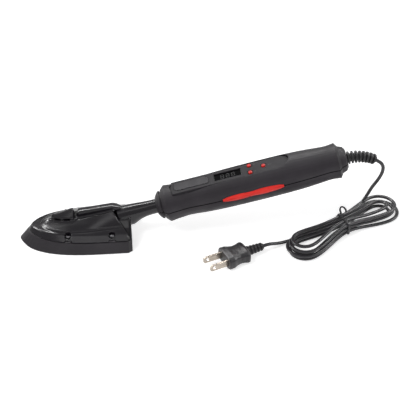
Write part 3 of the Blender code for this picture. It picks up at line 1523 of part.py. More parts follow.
def make_plug():
    rings = []
    for place, width_share, height_share in PLUG_STATIONS:
        half_width, half_height = PLUG_HALF_WIDTH * width_share, PLUG_HALF_HEIGHT * height_share
        rings.append(plug_ring(place, half_width, half_height, PLUG_SQUARENESS))
    ribs, steps = PLUG_RELIEF_RIBS, len(RELIEF_RIB_SHARES)
    pattern = (PLUG_RELIEF_CORE_SHARE, 1.0, 1.0, PLUG_RELIEF_CORE_SHARE)
    for i in range(ribs * steps):
        share = (i // steps + RELIEF_RIB_SHARES[i % steps]) / ribs
        radius = PLUG_RELIEF_ROOT_RADIUS + (PLUG_RELIEF_TIP_RADIUS - PLUG_RELIEF_ROOT_RADIUS) * share
        radius *= pattern[i % steps]
        rings.append(plug_ring(PLUG_RELIEF_START + PLUG_RELIEF_LENGTH * share, radius, radius, 1.0))
    end = PLUG_RELIEF_TIP_RADIUS * PLUG_RELIEF_CORE_SHARE
    rings.append(plug_ring(PLUG_RELIEF_START + PLUG_RELIEF_LENGTH, end, end, 1.0))
    points, faces = loft(rings)
    body = add_object("plug_body", points, faces, "rubber_black")
    half_width, half_thickness = BLADE_WIDTH / 2 + GAP, BLADE_THICKNESS / 2 + GAP
    for sign in (1, -1):
        y = sign * BLADE_SPACING / 2
        low = (-OVERRUN, y - half_thickness, -half_width)
        high = (BLADE_SEAT + GAP, y + half_thickness, half_width)
        cut(body, block("slot", low, high))
    body.data.transform(plug_frame())
    for name, sign in (("plug_blade_left", 1), ("plug_blade_right", -1)):
        make_blade(name, sign * BLADE_SPACING / 2)


def make_blade(name, y):
    """A flat blade with a chamfered tip and a round hole, standing on edge."""
    half, tip = BLADE_WIDTH / 2, -BLADE_LENGTH
    outline = [(BLADE_SEAT, -half), (BLADE_SEAT, half), (tip + BLADE_CHAMFER, half)]
    outline += [(tip, half - BLADE_CHAMFER), (tip, BLADE_CHAMFER - half), (tip + BLADE_CHAMFER, -half)]
    sides = (y - BLADE_THICKNESS / 2, y + BLADE_THICKNESS / 2)
    points, faces = loft([[(x, side, z) for x, z in outline] for side in sides])
    blade = add_object(name, points, faces, "nickel")
    hole_x = tip + BLADE_HOLE_INSET
    start, end = (hole_x, sides[0] - OVERRUN, 0), (hole_x, sides[1] + OVERRUN, 0)
    cut(blade, rod("hole", start, end, BLADE_HOLE_RADIUS, SMALL_STEPS))
    blade.data.transform(plug_frame())


def lead_points(hank):
    """From the strain relief down to the hank."""
    place, direction = relief_end()
    start = place + direction * GAP
    first = (hank[1] - hank[0]).normalized()
    end = hank[0] - first * GAP
    return cord_route(start, direction, LEAD_ROUTE, end, first)


def tail_points(hank):
    """From the hank to the plug's own strain relief."""
    last = (hank[-1] - hank[-2]).normalized()
    start = hank[-1] + last * GAP
    frame = plug_frame()
    end = frame @ Vector((PLUG_RELIEF_START + PLUG_RELIEF_LENGTH + GAP, 0, 0))
    axis = frame.to_3x3() @ Vector((1, 0, 0))
    return cord_route(start, last, TAIL_ROUTE, end, -axis)


def make_lead():
    hank = hank_points()
    lead = lead_points(hank)
    tail = tail_points(hank)
    tube("cord_hank", hank, CORD_RADIUS, 1, "rubber_black")
    tube("cord_lead", lead, CORD_RADIUS, 2, "rubber_black")
    tube("cord_tail", tail, CORD_RADIUS, 2, "rubber_black")
    lengths = [polyline_length(points) for points in (lead, hank, tail)]
    print("cord length", [round(length, 4) for length in lengths], round(sum(lengths), 4))


def iron_rear():
    """How far back the iron reaches without its cord."""
    rear = max(x * math.cos(TILT) + r * math.sin(TILT) for x, r in handle_profile())
    return HANDLE_LINE_X + rear


def centre_on_origin():
    """Moves everything so that the iron without its cord is centred over the origin."""
    for item in bpy.data.objects:
        if item.parent is None:
            item.location.x -= iron_rear() / 2


def make_all():
    clear_scene()
    make_sole_plate()
    make_shoe_cover()
    make_cover_screws()
    make_heater()
    make_heater_clamp()
    make_clamp_screws()
    make_sensor()
    line = make_handle_line()
    bpy.context.view_layer.update()
    make_neck_tube(line)
    make_rear_bracket(line)
    make_handle_shells(line)
    make_handle_screws(line)
    make_inlay("grip_inlay_left", 1, line)
    make_inlay("grip_inlay_right", -1, line)
    make_control_panel(line)
    make_badge(line)
    make_display(line)
    for name, place in button_places().items():
        make_button(name, place, line)
    make_board(line)
    make_strain_relief(line)
    make_lead()
    make_tie()
    make_plug()
    centre_on_origin()


make_all()
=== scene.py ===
import json
import math

import bmesh
import bpy
from mathutils import Matrix, Vector

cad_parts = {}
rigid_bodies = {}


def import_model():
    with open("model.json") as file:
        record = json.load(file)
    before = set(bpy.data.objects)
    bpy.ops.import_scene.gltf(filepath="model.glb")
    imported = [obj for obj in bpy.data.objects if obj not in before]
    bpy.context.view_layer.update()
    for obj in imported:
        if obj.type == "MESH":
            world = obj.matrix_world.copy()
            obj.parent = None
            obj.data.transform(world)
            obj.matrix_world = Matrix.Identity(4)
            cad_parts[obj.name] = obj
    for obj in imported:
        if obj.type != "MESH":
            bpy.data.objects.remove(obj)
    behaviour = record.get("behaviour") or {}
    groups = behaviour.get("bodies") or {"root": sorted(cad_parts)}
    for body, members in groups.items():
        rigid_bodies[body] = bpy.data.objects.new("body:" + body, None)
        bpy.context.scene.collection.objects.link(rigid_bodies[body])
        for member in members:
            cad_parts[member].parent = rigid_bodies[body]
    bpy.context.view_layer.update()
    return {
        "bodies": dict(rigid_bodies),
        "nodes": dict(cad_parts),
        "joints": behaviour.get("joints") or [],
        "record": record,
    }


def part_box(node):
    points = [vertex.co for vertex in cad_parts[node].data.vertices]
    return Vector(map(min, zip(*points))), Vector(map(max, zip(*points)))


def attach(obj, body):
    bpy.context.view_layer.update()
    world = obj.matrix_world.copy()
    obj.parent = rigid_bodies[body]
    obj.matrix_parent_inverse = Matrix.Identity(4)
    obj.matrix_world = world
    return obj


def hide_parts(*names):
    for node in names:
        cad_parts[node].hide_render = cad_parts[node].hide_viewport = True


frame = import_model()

# Shared sizes, in metres, as the solids have them
NOSE_SETBACK = 0.0004
NOSE_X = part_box("sole_plate")[0][0] - NOSE_SETBACK
TILT = math.radians(13.35)
HANDLE_LINE_X = 0.1000
HANDLE_LINE_Z = 0.0231
CAP_END = 0.1962
GAP = 0.0003
PANEL_TOP = 0.0142
LENS_TOP = 0.0133

# Display figures and panel marks, in the handle's frame
DIGIT_PLACES = (0.0862, 0.0911, 0.0960)
DIGIT_WIDTH = 0.0026
DIGIT_HEIGHT = 0.0052
DIGIT_STROKE = 0.0006
DIGIT_BAR = 0.86
MARK_STROKE = 0.0004
MARK_X = 0.1158
ARROW_Y = 0.0052
ARROW_HALF_WIDTH = 0.0008
ARROW_FOOT = 0.0006
ARROW_TIP = 0.0008
POWER_MARK_X = 0.1292
POWER_MARK_RADIUS = 0.0013
POWER_MARK_START = 125
POWER_MARK_SWEEP = 290
POWER_BAR = (0.0002, 0.0017)
BAND_PIECES = 12
BAND_OVERLAP = 1.04
PRINT_LIFT = 0.00002
PRINT_THICKNESS = 0.00006
PRINT_SHOULDER = 0.6
PRINT_INSET = 0.15

# Camera, its places counted from the nose
CAMERA_PLACE = (0.0757, -0.9449, 0.7201)
CAMERA_TARGET = (0.1683, 0.0, 0.02275)
CAMERA_LENS = 114.2
CAMERA_SENSOR = 36.0
CAMERA_CLIP = (0.05, 20.0)

# Curves and sweeps
CURVE_STEPS = 24
ROD_STEPS = 40
LEVEL_AT_START = 0.05
LEVEL_LEAST = 0.35
LEVEL_PULL = 0.15

# Shoe and its cover, counted from the nose
SOLE_LENGTH = 0.0990
SOLE_HEIGHT = 0.0115
OUTLINE_POWER = 4.0
OUTLINE_ROOT = 0.65
CORNER_SHARE = 0.965
CORNER_CUT = 0.0026
RING_POINTS = 90
COVER_ROWS = (  # front, half width, height over the sole, rise to the rear, narrowing
    (0.0080, 0.0278, 0.0003, 0.0000, 0.00),
    (0.0109, 0.0223, 0.0045, 0.0000, 0.00),
    (0.0120, 0.0212, 0.0050, 0.0000, 0.00),
    (0.0188, 0.0233, 0.0051, 0.0020, 0.30),
    (0.0194, 0.0226, 0.0061, 0.0025, 0.30),
    (0.0207, 0.0213, 0.0065, 0.0026, 0.30),
    (0.0255, 0.0076, 0.0090, 0.0100, 0.00),
    (0.0265, 0.0066, 0.0097, 0.0100, 0.00),
)
COVER_HOLLOWS = (1.0, 0.7, 1.3, 0.8, 0.7, 1.04, 0.6)
COVER_STEPS = (6, 3, 8, 3, 3, 14, 4)
INNER_ROWS = (
    (0.0109, 0.0260, -0.0017, 0.0000, 0.00),
    (0.0109, 0.0260, 0.0003, 0.0000, 0.00),
    (0.0138, 0.0205, 0.0027, 0.0000, 0.00),
    (0.0149, 0.0194, 0.0032, 0.0000, 0.00),
    (0.0221, 0.0211, 0.0038, 0.0025, 0.30),
    (0.0236, 0.0196, 0.0045, 0.0025, 0.30),
    (0.0284, 0.0052, 0.0072, 0.0100, 0.00),
)
PROW_FRONT_X = 0.0290
PROW_REAR_X = 0.0485
PROW_HALF_WIDTH = 0.0072
PROW_EDGE_Z = (0.0238, 0.0256)
PROW_RIDGE = 0.0062
PROW_FOOT = 0.0060
PROW_FIRST_WIDTH = 0.22
PROW_FIRST_RIDGE = 0.25
PROW_SWELL = 0.85
PROW_CROWN = 1.25
PROW_POINTS = 5
PROW_SECTIONS = 12
PROW_END = 0.0012
PROW_END_WIDTH = 0.9
PROW_DROP = 0.0035
VENT_STARTS = (0.0315, 0.0397)
VENT_LENGTH = 0.0060
VENT_DROPS = (0.0026, 0.0007)
VENT_REACH = 0.0100
SPINE_FOOT_Z = 0.0220
SPINE_STEPS = 16
SPINE_SQUARENESS = 0.8
SPINE_ROUND = 0.0014
SPINE_STATIONS = (  # along, half width, top
    (0.0520, 0.0024, 0.0278),
    (0.0524, 0.0032, 0.0287),
    (0.0534, 0.0036, 0.0293),
    (0.0826, 0.0036, 0.0330),
    (0.0854, 0.0036, 0.0323),
    (0.0910, 0.0029, 0.0305),
)
FLUTE_Y = 0.0053
FLUTE_RUN = ((0.0515, 0.0240), (0.1010, 0.0342))
FLUTE_RADIUS = 0.0018
SCREW_PLACES = ((0.0430, 0.01956), (0.0815, 0.02218))
POCKET_RADIUS = 0.0030
POCKET_FLOOR = 0.0136
POCKET_WALL = 0.0014
POCKET_TOP_Z = 0.0330
SHANK_RADIUS = 0.0013
SHANK_DEPTH = 0.0040
LUG_HALF_LENGTH = 0.0029
LUG_ACROSS = (0.0020, 0.0085)
LUG_HEIGHT = 0.0013
REAR_FOOT_INSET = 0.0021
REAR_TOP_INSET = 0.0155
REAR_EDGE_Z = (0.0090, 0.0133, 0.0295, 0.0400)
SHOE_SPAN = 0.0350
OVERRUN = 0.0010
MOULDING_GRAIN = 0.0003
EASE_FACTOR = 0.5
COVER_EASING = 16
NECK_EASING = 10
HORN_FRONT = -0.0120
HORN_REAR = 0.0360
HORN_TAIL_RADIUS = 0.0065
HORN_STATIONS = (  # along, radius, drop
    (0.0000, 0.0082, 0.0024),
    (0.0105, 0.0078, 0.0046),
    (0.0134, 0.0076, 0.0040),
    (0.0164, 0.0074, 0.0025),
    (0.0198, 0.0071, 0.0012),
    (0.0240, 0.0068, 0.0004),
    (0.0300, 0.0065, 0.0000),
)
NECK_BORE = 0.0051
NECK_RING_STEP = 0.0012
NECK_RING_POINTS = 48
BRACKET_PLATES = ((0.0974, 0.0990, 0.0), (0.0885, 0.0987, 0.0037))  # front, rear, inset
BRACKET_FOOT_Y = 0.0262
BRACKET_SHOULDER = (0.0160, 0.0068)
BRACKET_CROWN = (0.0090, 0.0114)
BRACKET_TRIM_X = 0.0500

# Cord, hank and tail
CORD_RADIUS = 0.0016
CORD_DIAMETER = 2 * CORD_RADIUS
CORD_LIFT = 0.0002
CORE_RADIUS = 0.00098
CORE_SWEEP = 250
CORE_STEPS = 10
CORE_TALLNESS = 1.22
LEAD_SPACING = 0.0020
CORD_SPACING = 0.0026
EVENING_ROUNDS = 3
RELIEF_LENGTH = 0.0262
RELIEF_BEND = math.radians(42.0)
LEAD_ROUTE = (
    (0.3232, 0.0000, 0.0608),
    (0.3249, 0.0003, 0.0560),
    (0.3243, 0.0010, 0.0500),
    (0.3222, 0.0024, 0.0430),
    (0.3194, 0.0050, 0.0355),
    (0.3176, 0.0080, 0.0292),
    (0.3162, 0.0098, 0.0238),
    (0.3144, 0.0102, 0.0192),
    (0.3119, 0.0090, 0.0158),
    (0.3089, 0.0070, 0.0142),
)
TAIL_ROUTE = (
    (0.2420, -0.0262, 0.0018),
    (0.2290, -0.0320, 0.0032),
)
LEAD_UPRIGHT = 18
HANK_CENTRE = (0.2882, -0.0175)
HANK_TURN = math.radians(32.3)
HANK_END_AT = 0.0460
HANK_NEAR_RADIUS = 0.0096
HANK_FAR_RADIUS = 0.0120
HANK_WAIST = 0.0019
HANK_STEP = 0.0042
HANK_LAYER_STEP = 0.0038
HANK_TURNS = (0.32, 0.875, 2.375, 3.875, 5.44)
HANK_WIDENING = 0.10
HANK_DRAWN_IN = 0.0014
HANK_CLOSED = 0.0045
HANK_WIDE = 0.0063
HANK_WAIST_LIFT = 0.0027
HANK_LIFT_LENGTH = 0.0200
HANK_LOOP_POINTS = 96

# Wire tie
TIE_WIDTH = 0.0021
TIE_THICKNESS = 0.0008
TIE_SPAN = 0.0030
TIE_REACH = 0.0200
TIE_DRIFT = 0.0032
TIE_CURL_RADIUS = 0.0029
TIE_CURL_TURN = 1.75
TIE_CURL_STEPS = 40
TIE_SPACING = 0.0008
SECTION_POINTS = 16

# Plug
PLUG_FRONT = (0.1772, -0.0538)
PLUG_TURN = math.radians(22.4)
PLUG_AXIS_Z = 0.0067
PLUG_RELIEF_END = 0.0385

# Floor and light
FLOOR_HALF = 6.0
FLOOR_DROP = 0.0001
FLOOR_WHITE = 0.90
FLOOR_ROUGHNESS = 0.9
FLOOR_GLOW = 0.60
WORLD_LIGHT = 0.45
LAMP_TARGET = (0.0, 0.0, 0.03)
LAMPS = (  # name, place, size, watts: soft lamps that glossy surfaces don't show
    ("key", (-0.55, -0.35, 0.95), (0.5, 0.35), 4.5),
    ("fill", (0.9, -0.8, 0.55), (0.5, 0.5), 2.5),
)
GLINTS = (  # lamps that only glossy surfaces show, as bright lines along edges and a faint sheen
    ("strip", (-0.05, 0.66, 0.90), (1.3, 0.10), 12.0),
    ("left_glint", (-0.95, 0.34, 0.80), (0.16, 0.40), 12.0),
    ("right_glint", (1.1, 0.22, 0.86), (0.24, 0.50), 12.0),
    ("front_sheen", (-0.10, -0.52, 0.98), (0.9, 0.26), 1.0),
)


def world_point(place):
    """A place counted from the nose, in the row frame."""
    x, y, z = place
    return Vector((x + NOSE_X, y, z))


HANDLE_TURN = Matrix.Rotation(-TILT, 4, "Y")
HANDLE_LOCAL = Matrix.Translation((HANDLE_LINE_X, 0, HANDLE_LINE_Z)) @ HANDLE_TURN
HANDLE_FRAME = Matrix.Translation(world_point((HANDLE_LINE_X, 0, HANDLE_LINE_Z))) @ HANDLE_TURN
PLUG_WORLD = Matrix.Translation(world_point((*PLUG_FRONT, PLUG_AXIS_Z))) @ Matrix.Rotation(PLUG_TURN, 4, "Z")


# Camera
def make_camera():
    camera_data = bpy.data.cameras.new("camera")
    camera_data.lens = CAMERA_LENS
    camera_data.sensor_width = CAMERA_SENSOR
    camera_data.clip_start, camera_data.clip_end = CAMERA_CLIP
    camera = bpy.data.objects.new("camera", camera_data)
    bpy.context.scene.collection.objects.link(camera)
    camera.location = world_point(CAMERA_PLACE)
    way = world_point(CAMERA_TARGET) - camera.location
    camera.rotation_euler = way.to_track_quat("-Z", "Y").to_euler()
    bpy.context.scene.camera = camera


# Geometry helpers
def new_piece(name, points, faces, material, angle):
    """A finished piece that rides the iron, shaded smooth but for edges sharper than the angle."""
    mesh = bpy.data.meshes.new(name)
    mesh.from_pydata([tuple(p) for p in points], [], faces)
    mesh.validate()
    mesh.materials.append(material)
    mesh.shade_smooth()
    mesh.set_sharp_from_angle(angle=math.radians(angle))
    item = bpy.data.objects.new(name, mesh)
    bpy.context.scene.collection.objects.link(item)
    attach(item, "iron")
    return item


def loft(rings):
    """Points and faces of a skin over rings of equally many points, closed at both ends."""
    count = len(rings[0])
    points = [p for ring in rings for p in ring]
    faces = []
    for k in range(len(rings) - 1):
        for i in range(count):
            j = (i + 1) % count
            faces.append((k * count + i, k * count + j, (k + 1) * count + j, (k + 1) * count + i))
    faces.append(tuple(range(count))[::-1])
    faces.append(tuple((len(rings) - 1) * count + i for i in range(count)))
    return points, faces


def smooth_run(ends, spacing):
    """Points at even spacing on a smooth curve through all but the first and last of the given ones."""
    fine = []
    for k in range(1, len(ends) - 2):
        p0, p1, p2, p3 = ends[k - 1 : k + 3]
        for i in range(CURVE_STEPS):
            u = i / CURVE_STEPS
            cubic = (3 * p1 - p0 - 3 * p2 + p3) * u**3
            fine.append(0.5 * (2 * p1 + (p2 - p0) * u + (2 * p0 - 5 * p1 + 4 * p2 - p3) * u**2 + cubic))
    fine.append(ends[-2])
    return resampled(fine, spacing)


def resampled(fine, spacing):
    """Points along a run of straight pieces, as near to the given spacing as comes out even."""
    total = sum((b - a).length for a, b in zip(fine, fine[1:]))
    count = max(4, round(total / spacing))
    result, walked, k = [], 0.0, 0
    for i in range(count + 1):
        target = total * i / count
        while k < len(fine) - 2 and walked + (fine[k + 1] - fine[k]).length < target:
            walked += (fine[k + 1] - fine[k]).length
            k += 1
        step = (fine[k + 1] - fine[k]).length
        result.append(fine[k].lerp(fine[k + 1], min(1.0, (target - walked) / step)))
    return result


def relaxed(points, rounds):
    """Evens small kinks out of a run of points, its ends kept."""
    for _ in range(rounds):
        inner = [0.25 * a + 0.5 * b + 0.25 * c for a, b, c in zip(points, points[1:], points[2:])]
        points = [points[0], *inner, points[-1]]
    return points


def sweep(path, profile, upright=0):
    """Points and faces of a profile carried along a path, level where it can be.

    The first points, as many as upright says, turn the profile's broad side to the front instead.
    """
    rings = []
    side = None
    for k, centre in enumerate(path):
        before, after = path[max(0, k - 1)], path[min(len(path) - 1, k + 1)]
        way = (after - before).normalized()
        level = way.cross(Vector((0, -1, 0))) if k < upright else Vector((0, 0, 1)).cross(way)
        if side is None:
            side = level.normalized() if level.length > LEVEL_AT_START else Vector((0, 1, 0))
        carried = (side - way * side.dot(way)).normalized()
        if level.length > LEVEL_LEAST:
            wanted = level.normalized()
            if wanted.dot(carried) < 0:
                wanted = -wanted
            carried = carried.lerp(wanted, LEVEL_PULL).normalized()
        side = (carried - way * carried.dot(way)).normalized()
        normal = way.cross(side)
        rings.append([centre + side * a + normal * b for a, b in profile])
    return loft(rings)


def round_profile(radius, steps):
    """The corners of an even polygon that stands for a circle."""
    return [
        (radius * math.cos(2 * math.pi * i / steps), radius * math.sin(2 * math.pi * i / steps))
        for i in range(steps)
    ]


def twin_profile():
    """Section of a flat twin lead: two round cores side by side, with a groove between them."""
    offset = CORD_RADIUS - CORE_RADIUS
    profile = []
    for centre, middle in ((offset, 0), (-offset, 180)):
        for i in range(CORE_STEPS + 1):
            angle = math.radians(middle - CORE_SWEEP / 2 + CORE_SWEEP * i / CORE_STEPS)
            across = CORE_RADIUS * math.cos(angle)
            profile.append((centre + across, CORE_TALLNESS * CORE_RADIUS * math.sin(angle)))
    return profile


# Materials
class Shader:
    """A Principled material with a few nodes that most finishes here share."""

    def __init__(self, name, colour, roughness, metallic=0.0):
        self.material = bpy.data.materials.new(name)
        self.material.use_nodes = True
        self.nodes = self.material.node_tree.nodes
        self.links = self.material.node_tree.links
        self.main = self.nodes["Principled BSDF"]
        self.main.inputs["Base Color"].default_value = (*colour, 1.0)
        self.main.inputs["Roughness"].default_value = roughness
        self.main.inputs["Metallic"].default_value = metallic
        self.coordinates = self.nodes.new("ShaderNodeTexCoord").outputs["Object"]
        self.normal = None

    def noise(self, scale, detail=3.0, stretch=None):
        source = self.coordinates
        if stretch:
            mapping = self.nodes.new("ShaderNodeMapping")
            mapping.inputs["Scale"].default_value = stretch
            self.links.new(source, mapping.inputs["Vector"])
            source = mapping.outputs["Vector"]
        node = self.nodes.new("ShaderNodeTexNoise")
        node.inputs["Scale"].default_value = scale
        node.inputs["Detail"].default_value = detail
        self.links.new(source, node.inputs["Vector"])
        return node.outputs["Fac"]

    def ranged(self, value, low, high, start=0.3, end=0.7):
        node = self.nodes.new("ShaderNodeMapRange")
        node.inputs["From Min"].default_value = start
        node.inputs["From Max"].default_value = end
        node.inputs["To Min"].default_value = low
        node.inputs["To Max"].default_value = high
        self.links.new(value, node.inputs["Value"])
        return node.outputs["Result"]

    def vary_roughness(self, scale, low, high, stretch=None):
        self.links.new(self.ranged(self.noise(scale, 4.0, stretch), low, high), self.main.inputs["Roughness"])

    def vary_colour(self, scale, first, second, stretch=None, detail=4.0):
        ramp = self.nodes.new("ShaderNodeValToRGB")
        ramp.color_ramp.elements[0].position = 0.32
        ramp.color_ramp.elements[1].position = 0.68
        ramp.color_ramp.elements[0].color = (*first, 1.0)
        ramp.color_ramp.elements[1].color = (*second, 1.0)
        self.links.new(self.noise(scale, detail, stretch), ramp.inputs["Fac"])
        self.links.new(ramp.outputs["Color"], self.main.inputs["Base Color"])

    def bump(self, height, distance, strength=1.0):
        node = self.nodes.new("ShaderNodeBump")
        node.inputs["Strength"].default_value = strength
        node.inputs["Distance"].default_value = distance
        self.links.new(height, node.inputs["Height"])
        if self.normal:
            self.links.new(self.normal, node.inputs["Normal"])
        self.normal = node.outputs["Normal"]
        self.links.new(self.normal, self.main.inputs["Normal"])

    def darken_seam(self, frame, reach):
        """Shade gathered along the parting line, the level plane of a frame."""
        across = frame.to_3x3() @ Vector((0, 0, 1))
        level = self.nodes.new("ShaderNodeVectorMath")
        level.operation = "DOT_PRODUCT"
        level.inputs[1].default_value = across
        self.links.new(self.coordinates, level.inputs[0])
        offset = self.nodes.new("ShaderNodeMath")
        offset.operation = "SUBTRACT"
        offset.inputs[1].default_value = across.dot(frame.translation)
        self.links.new(level.outputs["Value"], offset.inputs[0])
        away = self.nodes.new("ShaderNodeMath")
        away.operation = "ABSOLUTE"
        self.links.new(offset.outputs["Value"], away.inputs[0])
        clear = self.ranged(away.outputs["Value"], 0.04, 1.0, 0.4 * reach, reach)
        colour = self.main.inputs["Base Color"].links[0].from_socket
        shade = self.nodes.new("ShaderNodeVectorMath")
        shade.operation = "SCALE"
        self.links.new(colour, shade.inputs[0])
        self.links.new(clear, shade.inputs["Scale"])
        self.links.new(shade.outputs["Vector"], self.main.inputs["Base Color"])
        self.links.new(self.ranged(clear, 0.02, 0.38, 0.0, 1.0), self.main.inputs["Specular IOR Level"])

    def soft_edges(self, radius):
        """Shades sharp edges as if they were rounded to the radius. Bumps come after it."""
        node = self.nodes.new("ShaderNodeBevel")
        node.samples = 6
        node.inputs["Radius"].default_value = radius
        self.normal = node.outputs["Normal"]
        self.links.new(self.normal, self.main.inputs["Normal"])

    def set(self, **values):
        for key, value in values.items():
            self.main.inputs[key.replace("_", " ")].default_value = value


def grained_plastic(name, low, high, rough_low, rough_high, edge=0.0003, seam=0.0, gleam=0.38):
    """Fine spark-eroded grain with a faint cloudiness from handling."""
    shader = Shader(name, high, rough_high)
    shader.soft_edges(edge)
    shader.vary_colour(55.0, low, high)
    shader.vary_roughness(90.0, rough_low, rough_high)
    shader.bump(shader.noise(2600.0, 2.0), 0.00003, 0.55)
    shader.set(Specular_IOR_Level=gleam)
    if seam:
        shader.darken_seam(HANDLE_FRAME, seam)
    return shader.material


def gloss_moulding(name, low, high):
    """Polished black plastic with a slight swell in its surface and faint wipe marks."""
    shader = Shader(name, high, 0.2)
    shader.soft_edges(0.0004)
    shader.vary_colour(40.0, low, high)
    shader.vary_roughness(60.0, 0.17, 0.27, (1.0, 3.0, 3.0))
    shader.bump(shader.noise(120.0, 2.0), 0.00006, 0.25)
    shader.set(Specular_IOR_Level=0.45)
    return shader.material


def coated_sole():
    """Satin non-stick coat with fine lengthwise polishing lines."""
    shader = Shader("sole_coat", (0.02, 0.019, 0.021), 0.4, 0.1)
    shader.soft_edges(0.0004)
    shader.vary_colour(30.0, (0.013, 0.0108, 0.0140), (0.0205, 0.0172, 0.0220))
    shader.vary_roughness(160.0, 0.36, 0.50, (0.25, 1.0, 1.0))
    shader.bump(shader.noise(900.0, 3.0, (0.12, 1.0, 1.0)), 0.00003, 0.5)
    shader.bump(shader.noise(2200.0, 1.0), 0.00003, 0.4)
    shader.set(Specular_IOR_Level=0.36)
    return shader.material


def red_overmould():
    """Soft red rubbery plastic that lets a little light into its surface."""
    shader = Shader("red_overmould", (0.80, 0.03, 0.025), 0.45)
    shader.vary_colour(70.0, (0.76, 0.024, 0.020), (0.86, 0.038, 0.030))
    shader.vary_roughness(120.0, 0.36, 0.50)
    shader.bump(shader.noise(1800.0, 2.0), 0.00003, 0.4)
    shader.set(Subsurface_Weight=0.10, Subsurface_Scale=0.001, Specular_IOR_Level=0.3)
    return shader.material


def fine_grained(name, low, high, rough_low, rough_high, grain=1500.0):
    """Dull surfaces with a fine grain: rubber, vinyl, sheet, board and ink."""
    shader = Shader(name, high, rough_high)
    shader.vary_colour(80.0, low, high)
    shader.vary_roughness(150.0, rough_low, rough_high)
    shader.bump(shader.noise(grain, 2.0), 0.00004, 0.4)
    shader.set(Sheen_Weight=0.08, Sheen_Roughness=0.5)
    return shader.material


def turned_metal(name, low, high, rough_low, rough_high, stretch):
    """Plated metal with fine drawn lines."""
    shader = Shader(name, high, rough_high, 1.0)
    shader.soft_edges(0.0002)
    shader.vary_colour(300.0, low, high, stretch)
    shader.vary_roughness(420.0, rough_low, rough_high, stretch)
    shader.bump(shader.noise(1600.0, 3.0, stretch), 0.00002, 0.5)
    return shader.material


def dark_window():
    """Smoked display window, nearly black, with a soft gloss."""
    shader = Shader("display_window", (0.006, 0.006, 0.008), 0.08)
    shader.vary_colour(25.0, (0.001, 0.001, 0.0015), (0.003, 0.003, 0.004))
    shader.vary_roughness(70.0, 0.06, 0.13)
    shader.set(Specular_IOR_Level=0.08)
    return shader.material


MATERIALS = {}


def make_materials():
    MATERIALS.update(
        handle=grained_plastic(
            "handle_plastic", (0.0175, 0.0145, 0.0185), (0.0245, 0.0205, 0.0262), 0.46, 0.62, seam=0.0006
        ),
        panel=grained_plastic(
            "panel_plastic", (0.016, 0.0135, 0.0172), (0.022, 0.0188, 0.0240), 0.44, 0.58, 0.0004, gleam=0.22
        ),
        badge=grained_plastic("badge_plastic", (0.028, 0.0250, 0.0300), (0.038, 0.0340, 0.0410), 0.30, 0.42),
        gloss=gloss_moulding("gloss_black", (0.0055, 0.0043, 0.0065), (0.0095, 0.0077, 0.0110)),
        sole=coated_sole(),
        red=red_overmould(),
        relief=fine_grained("relief_rubber", (0.010, 0.010, 0.011), (0.018, 0.017, 0.019), 0.42, 0.58),
        cord=fine_grained("cord_sheath", (0.013, 0.012, 0.015), (0.024, 0.022, 0.027), 0.30, 0.44, 2400.0),
        plug=fine_grained("plug_vinyl", (0.012, 0.0105, 0.0130), (0.019, 0.0168, 0.0205), 0.34, 0.48, 1900.0),
        tie=fine_grained("tie_wire", (0.020, 0.019, 0.022), (0.034, 0.032, 0.036), 0.22, 0.34, 2600.0),
        steel=turned_metal(
            "plated_steel", (0.40, 0.39, 0.38), (0.55, 0.54, 0.52), 0.24, 0.38, (1.0, 1.0, 0.2)
        ),
        nickel=turned_metal(
            "nickel_plate", (0.34, 0.30, 0.26), (0.48, 0.43, 0.37), 0.22, 0.36, (0.15, 1.0, 1.0)
        ),
        blued=turned_metal(
            "blued_steel", (0.065, 0.063, 0.068), (0.11, 0.107, 0.112), 0.30, 0.45, (1.0, 1.0, 0.2)
        ),
        mica=fine_grained("mica_sheet", (0.40, 0.31, 0.19), (0.50, 0.40, 0.26), 0.50, 0.70, 700.0),
        board=fine_grained("board_mask", (0.015, 0.09, 0.04), (0.025, 0.14, 0.06), 0.30, 0.45, 900.0),
        window=dark_window(),
        digits=fine_grained("display_digits", (0.003, 0.003, 0.0036), (0.006, 0.006, 0.007), 0.60, 0.75),
        ink=fine_grained("panel_ink", (0.004, 0.004, 0.005), (0.008, 0.008, 0.009), 0.45, 0.60),
    )


NODE_FINISH = {
    "badge_plate": "badge",
    "button_down": "red",
    "button_power": "red",
    "button_up": "red",
    "circuit_board": "board",
    "clamp_screw_front": "steel",
    "clamp_screw_rear": "steel",
    "control_panel": "panel",
    "cover_screw_front_left": "blued",
    "cover_screw_front_right": "blued",
    "cover_screw_rear_left": "blued",
    "cover_screw_rear_right": "blued",
    "display_lens": "window",
    "handle_lower_shell": "handle",
    "handle_screw_front": "steel",
    "handle_screw_rear": "steel",
    "handle_upper_shell": "handle",
    "heater_clamp": "steel",
    "heater_plate": "mica",
    "lcd_module": "board",
    "neck_tube": "gloss",
    "plug_blade_left": "nickel",
    "plug_blade_right": "nickel",
    "rear_bracket": "gloss",
    "shoe_cover": "gloss",
    "sole_plate": "sole",
    "switch_down": "steel",
    "switch_power": "steel",
    "switch_up": "steel",
    "temperature_sensor": "nickel",
    "grip_inlay_left": "red",
    "grip_inlay_right": "red",
    "strain_relief": "relief",
    "plug_body": "plug",
}


def dress_nodes():
    """Gives each solid that stays in view its finish."""
    for name, finish in NODE_FINISH.items():
        item = bpy.data.objects[name]
        for slot in item.material_slots:
            slot.material = MATERIALS[finish]


# Mouldings: shaped from fine rings, then given small even faces with eased corners
def plain_solid(name, points, faces):
    mesh = bpy.data.meshes.new(name)
    mesh.from_pydata([tuple(p) for p in points], [], faces)
    item = bpy.data.objects.new(name, mesh)
    bpy.context.scene.collection.objects.link(item)
    return item


def baked(item):
    """Swaps a piece's mesh for the result of its modifiers."""
    seen = item.evaluated_get(bpy.context.evaluated_depsgraph_get())
    shape = bpy.data.meshes.new_from_object(seen)
    item.modifiers.clear()
    item.data = shape


